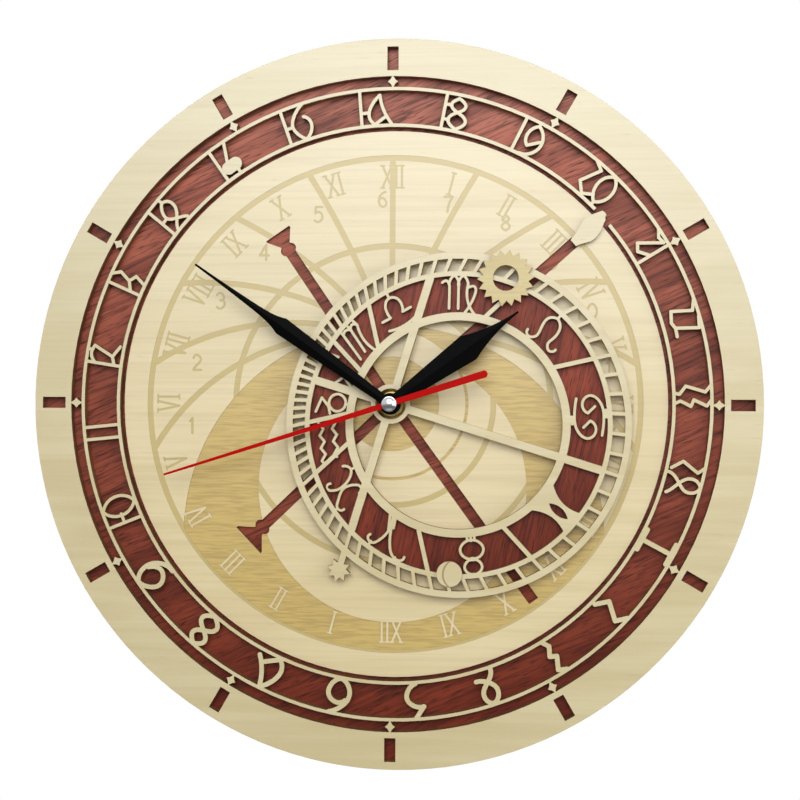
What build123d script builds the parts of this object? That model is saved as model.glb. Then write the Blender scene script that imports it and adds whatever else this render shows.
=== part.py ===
from build123d import *

import os
from math import acos, cos, degrees, radians, sin, sqrt, tan

# A round wooden wall clock whose dial is laid out like an astrolabe.
# Millimetres; +Z is up, the dial faces -Y, and the wall is the plane Y = 0.
# A depth is a distance in front of the wall. A clock angle is in degrees, clockwise from twelve.

# Points along each curved pen stroke
STROKE_STEPS = 12

# Clearances
FIT = 0.05  # pressed and glued joints, on the radius
RUN = 0.08  # turning shafts, on the radius
STACK_GAP = 0.3  # between wheels that turn side by side
LIFT_GAP = 0.4  # round pieces that lift out
HAND_GAP = 0.8  # between hands that pass over each other

# Wooden layers, thickness
BOARD_T = 4.0
RING_T = 4.0
DIAL_T = 2.0
BACKING_T = 2.0
FRET_T = 3.0
SUN_T = 2.0
MOON_T = 1.2
POINTER_T = 2.5
ENGRAVE = 0.3  # filled areas
LINE_ENGRAVE = 0.15  # lines, letters and figures

# Fretted hour ring, from its rim inwards
RING_R = 150.0
BOARD_INSET = 0.5
RIM_W = 15.4
TRACK_W = 4.4
RAIL_W = 1.4
NUMERAL_BAND = 13.65
MARKER_R = 141.9
MARKER_L = 9.7
MARKER_W = 4.6
DIAMOND_OVERLAP = 0.5
DIAMOND_W = 4.2
DIAMOND_WAIST = 0.95
HOURS = 12
NUMERAL_PEN = 1.35
BOLD_PEN = 1.95
BOWL_PEN = 5.4
BOWL_HOUR = 15

# Engraved astrolabe dial
DIAL_GAP = 1.45
TROPIC_R = 101.3
EQUATOR_R = 65.0
OBLIQUITY = 23.44
LATITUDE = 50.0
HORIZON_R = 86.9
NIGHT_DROP = 34.5
NIGHT_R = 55.4
CIRCLE_PEN = 2.3
HOUR_PEN = 2.3
ROMAN_R = 93.5
ROMAN_H = 9.0
ROMAN_PEN = 0.9
SERIF_PEN = 0.6
FIGURE_H = 6.2
FIGURE_PEN = 0.9
FIGURE_ADVANCE = 0.84
FIGURE_PLACES = (
    (-83.4, -9.4),
    (-81.5, 16.9),
    (-71.7, 42.5),
    (-53.4, 62.6),
    (-30.8, 78.2),
    (-4.2, 84.3),
    (23.0, 82.0),
    (46.4, 74.2),
    (66.0, 58.0),
    (79.0, 38.0),
    (86.0, 15.0),
    (87.5, -9.4),
)
ROSETTE_R = 31.5
ROSETTE_RINGS = ((8.0, 19.5), (30.3, 31.5))

# Arms cut through the dial: clock angle, reach, width and flare at the end
ARM_W = 4.5
SUN_ARM_ANGLE = 48.3
SUN_ARM_REACH = 100.0
SUN_TAIL_ANGLE = 226.3
SUN_ARM_TAIL = 82.4
MOON_ARM_ANGLE = 325.8
MOON_ARM_REACH = 85.2
MOON_TAIL_ANGLE = 143.9
MOON_ARM_TAIL = 99.2
SUN_TRUMPET_W = 14.6
MOON_TRUMPET_W = 11.6
TRUMPET_L = 5.6
TRUMPET_LIP = 0.8
COLLAR_W = 6.8
COLLAR_L = 5.0

# Zodiac ring, off centre towards the summer solstice
ZODIAC_OFFSET = 28.5
SOLSTICE_ANGLE = 107.2
ZODIAC_R = 70.3
ZODIAC_RIM_W = 2.7
LADDER_W = 5.0
ZODIAC_RAIL_W = 2.0
SIGN_BAND = 14.8
SIGN_RING_W = 3.3
SIGNS = 12
LADDER_STEPS = 6
LADDER_BAR = 1.5
DIVIDER_W = 1.8
SPOKES = 4
SPOKE_W = 3.3
SIGN_PEN = 1.1
HUB_RING_W = 1.8
STAR_R = 4.9
STAR_INNER_R = 3.0
STAR_POINTS = 8
STAR_GAP = 7.0
STEM_W = 2.6
BACKING_LAP = 1.6

# Glued-on figures
SUN_R = 11.6
SUN_ROOT_R = 9.2
SUN_HOLE_R = 5.2
SUN_RAYS = 18
SUN_LONGITUDE = 154.8
MOON_R = 5.2
MOON_LONGITUDE = 36.6
POINTER_START = 97.5
POINTER_LEFT = (
    (-1.5, 1.2),
    (-2.3, 4.7),
    (-3.6, 8.6),
    (-4.2, 11.2),
    (-3.8, 13.6),
    (-3.0, 15.8),
    (-1.9, 18.6),
)
POINTER_RIGHT = ((2.5, 15.4), (3.8, 12.7), (4.5, 9.9), (4.4, 7.3), (3.4, 5.0), (1.9, 1.2))
FINGER_TIP = ((-1.9, 18.6), (-0.9, 18.9), (0.6, 18.7), (0.7, 17.9), (1.9, 16.9), (2.5, 15.4))
NOTCH_W = 8.6

# Hands at rest, as clock angles
HOUR_ANGLE = 54.2
MINUTE_ANGLE = 305.3
SECOND_ANGLE = 252.4
HOUR_L = 63.8
HOUR_W = 11.4
HOUR_SHOULDER = 39.0
HOUR_NECK_W = 4.4
MINUTE_L = 98.2
MINUTE_W = 7.4
MINUTE_SHOULDER = 54.6
MINUTE_NECK_W = 3.6
HAND_TIP_W = 0.8
HAND_T = 1.0
HAND_EDGE_T = 0.35
HOUR_TAPER = ((0.33, 0.51), (0.65, 0.21))
MINUTE_TAPER = ((0.1, 0.62), (0.22, 0.43), (0.42, 0.3), (0.7, 0.18))
HOUR_HUB_R = 4.4
MINUTE_HUB_R = 4.2
SECOND_L = 97.0
SECOND_TAIL = 41.5
SECOND_TIP_W = 0.9
SECOND_NECK_W = 2.4
SECOND_TAIL_W = 3.0
SECOND_T = 0.5
SECOND_HUB_R = 2.6
CAP_R = 3.1
CAP_RIM = 0.8
CAP_H = 2.0

# Quartz movement
CASE_WALL = 1.2
CASE_TOP = 28.0
CASE_CORNER = 2.0
LEDGE = 1.0
COVER_GAP = 0.1
GASKET_T = 1.0
GASKET_R = 14.0
BUSHING_R = 3.95
COLLAR_R = 5.6
COLLAR_T = 0.8
THREAD_SPARE = 0.8
NUT_R = 6.0
NUT_CHAMFER = 1.0
NUT_T = 2.2
HUB_CLEAR = 0.3
TAB_W = 16.0
TAB_L = 14.0
TAB_T = 2.5
TAB_CORNER = 5.0
HANGER_R = 4.0
HANGER_RISE = 6.5
BATTERY_R = 7.25
BATTERY_L = 50.5
NUB_R = 2.75
NUB_L = 1.0
CONTACT_T = 0.4
CONTACT_ROOM = 3.1
CONTACT_W = 9.0
CONTACT_H = 10.0
BATTERY_RECESS = 0.4
DIVIDER_WALL = 1.0

# Shafts, radius
HOUR_PIPE_R = 2.5
MINUTE_PIPE_R = 1.65
SECONDS_R = 0.55
PIN_R = 0.5
POST_R = 0.9
KNOB_SHAFT_R = 1.2
KNOB_R = 6.0
KNOB_T = 3.0
KNOB_RIBS = 24
KNOB_RIB_R = 0.35
PIVOT_DEPTH = 0.6
PIVOT_END = 0.2
ROTOR_HUB_R = 1.0
KNOB_RECESS = 0.4
BOSS_R = 1.7
BOSS_H = 1.0

# Wheel train: teeth, modules and directions of the axes, anticlockwise from +X
WHEEL_T = 0.8
PINION_OVERLAP = 0.2
ADDENDUM = 0.9
PINION_ADDENDUM = 0.6
DEDENDUM = 1.25
TOOTH_SHARE = 0.41
ROTOR_PINION_TEETH = 8
INTERMEDIATE_TEETH = 48
INTERMEDIATE_PINION_TEETH = 8
SECONDS_TEETH = 40
SECONDS_PINION_TEETH = 8
THIRD_TEETH = 60
THIRD_PINION_TEETH = 8
CENTRE_TEETH = 64
CANNON_TEETH = 12
MOTION_TEETH = 36
MOTION_PINION_TEETH = 10
HOUR_TEETH = 40
KNOB_TEETH = 12
ROTOR_MODULE = 0.30
INTERMEDIATE_MODULE = 0.45
THIRD_MODULE = 0.32
MOTION_MODULE = 0.40
THIRD_DIRECTION = 0.0
MOTION_DIRECTION = 150.0
INTERMEDIATE_DIRECTION = 80.0
ROTOR_DIRECTION = 60.0
KNOB_DIRECTION = 160.0
CANNON_L = 1.2
PIPE_STEP = 0.9

# Stepping motor and circuit
MAGNET_R = 3.0
MAGNET_T = 2.4
STATOR_T = 0.8
STATOR_HOLE_R = 3.6
STATOR_WEB = 1.8
STATOR_ARM_W = 3.0
STATOR_LUG = 6.6
STATOR_DROP = 2.9
CORE_W = 2.4
COIL_R = 2.5
WINDING_L = 16.0
FLANGE_T = 0.8
COIL_CLEAR = 0.5
BOBBIN_WALL = 0.5
WALL_CLEAR = 0.5
CIRCUIT_W = 14.6
CIRCUIT_H = 12.6
CIRCUIT_T = 1.0
CIRCUIT_DEPTH = 10.5
CIRCUIT_MARGIN = 2.0
CRYSTAL_R = 1.0
CRYSTAL_L = 6.0
CHIP_SIDE = 5.0
CHIP_T = 1.2

# Depths of the layers, from the wall forwards
case_depth = BATTERY_RECESS + 2 * BATTERY_R + LIFT_GAP + CASE_WALL
inner_front = case_depth - CASE_WALL
board_back = case_depth + GASKET_T
board_front = board_back + BOARD_T
dial_front = board_front + DIAL_T
backing_front = dial_front + BACKING_T
fret_front = backing_front + FRET_T
sun_front = fret_front + SUN_T
thread_end = dial_front + NUT_T + THREAD_SPARE
hour_back = sun_front + HAND_GAP
minute_back = hour_back + HAND_T + HAND_GAP
second_back = minute_back + HAND_T + HAND_GAP
second_front = second_back + SECOND_T

# Radii of the fretted ring
rim_in = RING_R - RIM_W
track_in = rim_in - TRACK_W
band_out = track_in - RAIL_W
band_in = band_out - NUMERAL_BAND
ring_in = band_in - RAIL_W
dial_r = ring_in - DIAL_GAP

# Radii of the zodiac ring, about its own centre
ladder_out = ZODIAC_R - ZODIAC_RIM_W
ladder_in = ladder_out - LADDER_W
sign_out = ladder_in - ZODIAC_RAIL_W
sign_in = sign_out - SIGN_BAND
zodiac_in = sign_in - SIGN_RING_W
hub_hole_r = NUT_R + HUB_CLEAR
hub_ring_r = hub_hole_r + HUB_RING_W

# Places inside the movement
case_w = BATTERY_L + CONTACT_ROOM + 2 * CASE_WALL
inner_half = case_w / 2 - CASE_WALL
inner_top = CASE_TOP - CASE_WALL
third_centres = THIRD_MODULE * (SECONDS_PINION_TEETH + THIRD_TEETH) / 2
centre_module = 2 * third_centres / (THIRD_PINION_TEETH + CENTRE_TEETH)
motion_centres = MOTION_MODULE * (CANNON_TEETH + MOTION_TEETH) / 2
hour_module = 2 * motion_centres / (MOTION_PINION_TEETH + HOUR_TEETH)
knob_centres = MOTION_MODULE * (KNOB_TEETH + MOTION_TEETH) / 2
intermediate_centres = INTERMEDIATE_MODULE * (INTERMEDIATE_PINION_TEETH + SECONDS_TEETH) / 2
rotor_centres = ROTOR_MODULE * (ROTOR_PINION_TEETH + INTERMEDIATE_TEETH) / 2
centre_tip_r = centre_module * (CENTRE_TEETH / 2 + ADDENDUM)
divider_top = -(centre_tip_r + 2 * LIFT_GAP)
divider_bottom = divider_top - DIVIDER_WALL
battery_z = divider_bottom - LIFT_GAP - BATTERY_R
case_bottom = battery_z - BATTERY_R - LIFT_GAP - CASE_WALL
battery_tip = inner_half - CONTACT_T - LIFT_GAP

# Depths in the wheel train, from the front wall of the case backwards
hour_wheel_front = inner_front - STACK_GAP
hour_wheel_back = hour_wheel_front - WHEEL_T
cannon_front = hour_wheel_back - STACK_GAP
cannon_back = cannon_front - CANNON_L
motion_front = cannon_front - PINION_OVERLAP
motion_back = motion_front - WHEEL_T
centre_front = cannon_back - PINION_OVERLAP - STACK_GAP
centre_back = centre_front - WHEEL_T
pipe_back = centre_back - PIPE_STEP
seconds_pinion_front = pipe_back - STACK_GAP
third_front = seconds_pinion_front - PINION_OVERLAP - STACK_GAP
third_back = third_front - WHEEL_T
seconds_front = third_back - PIPE_STEP
seconds_back = seconds_front - WHEEL_T
intermediate_front = seconds_back - PIPE_STEP - PINION_OVERLAP
intermediate_back = intermediate_front - WHEEL_T
magnet_back = intermediate_front + PINION_OVERLAP + STACK_GAP
stator_back = magnet_back + (MAGNET_T - STATOR_T) / 2
stator_front = stator_back + STATOR_T
pivot_back = CASE_WALL - PIVOT_DEPTH / 2
pivot_front = inner_front + PIVOT_DEPTH


# Placing helpers
def level(depth: float) -> Plane:
    """A sketch plane in front of the wall, seen from the front: x to the right, y up."""
    return Plane.XZ.offset(depth)


def clock_point(radius: float, angle: float) -> tuple[float, float]:
    """A point of the dial by radius and clock angle."""
    return (radius * sin(radians(angle)), radius * cos(radians(angle)))


def clock_place(radius: float, angle: float) -> Location:
    """A place of the dial whose own y axis points outwards."""
    return Location((*clock_point(radius, angle), 0), (0, 0, -angle))


def polar(radius: float, angle: float, about: tuple = (0.0, 0.0)) -> tuple[float, float]:
    """A point by radius and angle, anticlockwise from +X, about a centre."""
    return (about[0] + radius * cos(radians(angle)), about[1] + radius * sin(radians(angle)))


def hand_plane(depth: float, angle: float) -> Plane:
    """A plane facing forwards whose own y axis runs along a hand."""
    right = (cos(radians(angle)), 0, -sin(radians(angle)))
    return Plane(origin=(0, -depth, 0), x_dir=right, z_dir=(0, -1, 0))


def annulus(inner: float, outer: float) -> Sketch:
    """A flat ring about the origin."""
    with BuildSketch() as ring:
        Circle(outer)
        Circle(inner, mode=Mode.SUBTRACT)
    return ring.sketch


# Pen strokes: every sign, numeral and engraved line is drawn with a round pen
def pen_stroke(path: Edge, width: float) -> Face:
    """A stroke of a round pen along a path, as one flat face."""
    steps = 1 if path.geom_type == GeomType.LINE else STROKE_STEPS
    places = [index / steps for index in range(steps + 1)]
    normals = [(path % place).rotate(Axis.Z, 90) * (width / 2) for place in places]
    centres = [path @ place for place in places]
    left = [centre + normal for centre, normal in zip(centres, normals)]
    right = [centre - normal for centre, normal in zip(centres, normals)]
    nose = centres[-1] + (path % 1) * (width / 2)
    heel = centres[0] - (path % 0) * (width / 2)
    side = Line if steps == 1 else Spline
    with BuildSketch() as stroke:
        with BuildLine():
            side(*left)
            ThreePointArc(left[-1], nose, right[-1])
            side(*right[::-1])
            ThreePointArc(right[0], heel, left[0])
        make_face()
    return stroke.sketch.face()


def draw(strokes: tuple, width: float, scale: float, place: Location) -> list[Face]:
    """The strokes of one figure, each a list of points in units of scale, put in its place."""
    faces = []
    for stroke in strokes:
        points = [(scale * x, scale * y) for x, y in stroke]
        path = Line(*points) if len(points) == 2 else Spline(*points)
        faces.append(place * pen_stroke(path.edge(), width))
    return faces


# Old-style figures of the hours 1 to 24; the unit is half the height of the band
HOUR_FIGURES = (
    (
        ((0, 1.0), (0, -1.0)),
        ((-0.62, 0.9), (0.62, 0.9)),
        ((-0.62, -0.9), (0.62, -0.9)),
    ),
    (
        ((-0.34, 1.0), (0.26, 0.61)),
        ((0.26, 0.61), (-0.31, -0.39)),
        ((-0.31, -0.39), (0.36, -0.85)),
    ),
    (
        ((-0.3, 1.0), (0.16, 0.78)),
        ((0.16, 0.78), (-0.2, 0.08)),
        ((-0.2, 0.08), (0.16, -0.1)),
        ((0.16, -0.1), (-0.12, -0.62)),
        ((-0.12, -0.62), (0.1, -0.98)),
    ),
    (
        ((-0.04, 0.97), (-0.42, 0.62), (-0.46, 0.22), (-0.16, -0.2), (0.55, -0.48)),
        ((-0.04, 0.97), (0.34, 0.64), (0.36, 0.28), (0, -0.2), (-0.44, -1.0)),
    ),
    (
        ((0.05, 1.0), (-0.44, 0.34)),
        ((-0.44, 0.34), (0.2, 0.24), (0.5, -0.14), (0.4, -0.6), (-0.05, -0.98)),
    ),
    (
        ((0.42, 1.0), (-0.22, 0.6), (-0.6, -0.1), (-0.4, -0.72), (0, -1.0)),
        ((0, -1.0), (0.52, -0.6), (0.6, 0), (0.2, 0.36), (-0.4, 0.2)),
    ),
    (
        ((0.06, 1.0), (-0.44, 0.46), (-0.72, -0.26), (-0.4, -0.95)),
        ((-0.4, -0.95), (0.46, -0.4)),
        ((0.06, 1.0), (0.36, 0.0), (0.8, -0.7)),
    ),
    (
        ((0, 0.04), (-0.44, 0.5), (0, 1.0)),
        ((0, 0.04), (0.44, 0.5), (0, 1.0)),
        ((0, 0.04), (-0.54, -0.48), (0, -1.0)),
        ((0, 0.04), (0.54, -0.48), (0, -1.0)),
    ),
    (
        ((-0.45, -1.0), (0.3, -0.7), (0.66, -0.05), (0.58, 0.6), (0.2, 1.0)),
        ((0.2, 1.0), (-0.4, 0.66), (-0.66, 0.05), (-0.4, -0.36), (0.56, 0.02)),
    ),
    (
        ((-0.64, 1.0), (-0.64, -1.0)),
        ((-0.64, 0.02), (-0.1, 0.02)),
        ((0.36, 0.98), (-0.12, 0.4), (-0.12, -0.4), (0.36, -0.98)),
        ((0.36, 0.98), (0.9, 0.36), (0.9, -0.36), (0.36, -0.98)),
    ),
    (
        ((-0.34, 1.0), (-0.34, -1.0)),
        ((0.38, 1.0), (0.38, -1.0)),
    ),
    (
        ((-0.4, 1.0), (-0.4, -1.0)),
        ((-0.4, 0.5), (0.06, 0.8), (0.58, 0.66)),
        ((0.34, 0.76), (0.34, 1.05)),
        ((0.58, 0.66), (0.09, -0.46)),
        ((-0.4, -0.64), (0.09, -0.46)),
        ((0.09, -0.46), (0.72, -0.84)),
    ),
    (
        ((-0.33, 1.0), (-0.33, -1.0)),
        ((0.2, 1.0), (0.49, 0.56)),
        ((0.49, 0.56), (0.2, -0.1)),
        ((-0.33, -0.42), (0.2, -0.1)),
        ((0.2, -0.1), (0.6, -0.38)),
        ((0.6, -0.38), (0.34, -1.0)),
    ),
    (
        ((-0.46, 1.0), (-0.46, -1.0)),
        ((-0.46, -0.07), (-0.06, -0.07)),
        ((0.46, 0.74), (0.44, 1.05)),
        ((0.46, 0.74), (0.06, 0.36), (-0.04, -0.08), (0.3, -0.46), (0.84, -0.92)),
        ((0.46, 0.74), (0.82, 0.38), (0.78, -0.02), (0.4, -0.46), (-0.08, -0.92)),
    ),
    (
        ((-0.37, 1.0), (-0.37, -1.0)),
        ((0.67, 1.0), (0.2, -0.06)),
        ((0.5, -0.6), (0.5, -1.0)),
    ),
    (
        ((-0.51, 1.0), (-0.51, -1.0)),
        ((-0.51, -0.1), (-0.1, -0.1)),
        ((0.84, 1.0), (0.2, 0.52), (-0.1, -0.1), (0.08, -0.62), (0.42, -1.0)),
        ((0.42, -1.0), (0.86, -0.62), (0.98, -0.2), (0.68, 0.28)),
    ),
    (
        ((-0.51, 1.0), (-0.51, -1.0)),
        ((-0.51, -0.28), (-0.06, -0.28)),
        ((0.64, 0.68), (0.12, 0.12), (-0.06, -0.4), (0.28, -1.0)),
        ((0.28, -0.95), (0.84, -0.6)),
        ((0.64, 0.68), (0.8, -0.2), (1.18, -0.98)),
    ),
    (
        ((-0.33, 1.0), (-0.33, -1.0)),
        ((-0.33, 0.38), (0.04, 0.4)),
        ((-0.33, -0.46), (0, -0.46)),
        ((0.44, 0.02), (0.02, 0.4), (0.42, 0.82)),
        ((0.44, 0.02), (0.84, 0.4), (0.42, 0.82)),
        ((0.44, 0.02), (-0.02, -0.44), (0.48, -0.94)),
        ((0.44, 0.02), (0.98, -0.44), (0.48, -0.94)),
    ),
    (
        ((-0.46, 1.0), (-0.46, -1.0)),
        ((0.4, 0.83), (0.4, 1.05)),
        ((0.4, 0.83), (0.02, 0.4), (-0.02, -0.06), (0.22, -0.42)),
        ((0.22, -0.42), (0.84, 0.06)),
        ((0.4, 0.83), (0.84, 0.4), (0.95, -0.1), (0.72, -0.64), (0, -1.0)),
    ),
    (
        ((-0.8, 1.0), (-0.26, 0.74)),
        ((-0.26, 0.74), (-0.78, -0.44)),
        ((-0.78, -0.44), (-0.14, -1.0)),
        ((-0.14, -0.86), (0.32, -0.54)),
        ((0.58, 0.98), (0.1, 0.34), (0.16, -0.3), (0.6, -0.82)),
        ((0.58, 0.98), (1.06, 0.34), (1.04, -0.26), (0.6, -0.82)),
        ((0.6, -0.82), (0.6, -1.05)),
    ),
    (
        ((-0.6, 1.0), (-0.2, 0.76)),
        ((-0.2, 0.76), (0.2, 0.86)),
        ((0.2, 0.86), (-0.56, -0.4)),
        ((-0.56, -0.4), (-0.14, -0.64)),
        ((-0.14, -0.64), (0.43, -0.14)),
        ((0.43, 1.0), (0.43, -1.0)),
    ),
    (
        ((-0.9, 1.0), (-0.3, 0.76)),
        ((-0.3, 0.76), (-0.57, -0.4)),
        ((-0.57, -0.4), (0.06, -0.56)),
        ((0.06, -0.56), (0.4, -0.42)),
        ((0.1, 1.0), (0.74, 0.86)),
        ((0.74, 0.86), (0.4, -0.42)),
        ((0.4, -0.42), (0.88, -0.46)),
    ),
    (
        ((-0.64, 1.02), (-0.26, 0.69)),
        ((-0.26, 0.69), (-0.61, -0.39)),
        ((-0.61, -0.39), (-0.16, -0.74)),
        ((-0.16, -0.74), (-0.22, -1.0)),
        ((0.2, 1.02), (0.53, 0.76)),
        ((0.53, 0.76), (0.17, 0.04)),
        ((0.17, 0.04), (0.53, -0.12)),
        ((0.53, -0.12), (0.22, -0.7)),
        ((0.22, -0.7), (0.34, -1.0)),
    ),
    (
        ((-0.66, 1.02), (-0.3, 0.69)),
        ((-0.3, 0.69), (-0.76, -0.24)),
        ((-0.76, -0.24), (-0.26, -0.8)),
        ((0.49, 1.02), (0.13, 0.66), (0.12, 0.3), (0.46, -0.16), (1.13, -0.78)),
        ((0.49, 1.02), (0.86, 0.66), (0.88, 0.3), (0.52, -0.16), (0, -1.0)),
    ),
)
FILLED_BOWL = (((0.05, -0.42), (0.55, -0.42)),)
NUMERAL_ANGLES = (
    *(118.0, 132.9, 147.0, 160.8, 175.0, 190.0, 204.7, 219.5, 234.1, 248.0, 264.1, 279.0),
    *(294.1, 309.3, 324.8, 340.4, 355.5, 11.1, 26.7, 42.7, 58.6, 73.5, 88.4, 103.4),
)

# Plain figures engraved on the dial; the unit is half their height
PLAIN_FIGURES = {
    "0": (
        ((0, 1.0), (-0.5, 0.5), (-0.5, -0.5), (0, -1.0)),
        ((0, 1.0), (0.5, 0.5), (0.5, -0.5), (0, -1.0)),
    ),
    "1": (((-0.3, 0.6), (0, 1.0)), ((0, 1.0), (0, -1.0))),
    "2": (((-0.5, 0.6), (0, 1.0), (0.5, 0.5), (0, -0.3), (-0.5, -1.0)), ((-0.5, -1.0), (0.55, -1.0))),
    "3": (
        ((-0.5, 0.8), (0.1, 1.0), (0.45, 0.5), (-0.05, 0.08)),
        ((-0.05, 0.08), (0.55, -0.4), (0.1, -1.0), (-0.5, -0.8)),
    ),
    "4": (((0.25, 1.0), (-0.6, -0.4)), ((-0.6, -0.4), (0.6, -0.4)), ((0.25, 1.0), (0.25, -1.0))),
    "5": (
        ((-0.35, 1.0), (0.5, 1.0)),
        ((-0.35, 1.0), (-0.42, 0.15)),
        ((-0.42, 0.15), (0.25, 0.25), (0.52, -0.4), (0, -1.0), (-0.5, -0.8)),
    ),
    "6": (
        ((0.4, 0.95), (-0.3, 0.5), (-0.5, -0.4), (0, -1.0)),
        ((0, -1.0), (0.5, -0.45), (0, 0.15), (-0.46, -0.2)),
    ),
    "7": (((-0.55, 1.0), (0.55, 1.0)), ((0.55, 1.0), (0.05, 0), (-0.15, -1.0))),
    "8": (
        ((0, 0.08), (-0.42, 0.55), (0, 1.0)),
        ((0, 0.08), (0.42, 0.55), (0, 1.0)),
        ((0, 0.08), (-0.52, -0.45), (0, -1.0)),
        ((0, 0.08), (0.52, -0.45), (0, -1.0)),
    ),
    "9": (
        ((-0.4, -0.95), (0.3, -0.5), (0.5, 0.4), (0, 1.0)),
        ((0, 1.0), (-0.5, 0.45), (0, -0.15), (0.46, 0.2)),
    ),
}

# Roman letters: strokes, serifs and advance; the unit is half their height
ROMAN_LETTERS = {
    "I": ((((0, 1.0), (0, -1.0)),), (((-0.2, 1.0), (0.2, 1.0)), ((-0.2, -1.0), (0.2, -1.0))), 0.52),
    "V": (
        (((-0.42, 1.0), (0, -1.0)), ((0.42, 1.0), (0, -1.0))),
        (((-0.6, 1.0), (-0.24, 1.0)), ((0.24, 1.0), (0.6, 1.0))),
        1.15,
    ),
    "X": (
        (((-0.42, 1.0), (0.42, -1.0)), ((0.42, 1.0), (-0.42, -1.0))),
        (
            ((-0.6, 1.0), (-0.24, 1.0)),
            ((0.24, 1.0), (0.6, 1.0)),
            ((-0.6, -1.0), (-0.24, -1.0)),
            ((0.24, -1.0), (0.6, -1.0)),
        ),
        1.15,
    ),
}
ROMAN_HOURS = ("I", "II", "III", "IV", "V", "VI", "VII", "VIII", "IX", "X", "XI", "XII")

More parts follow.
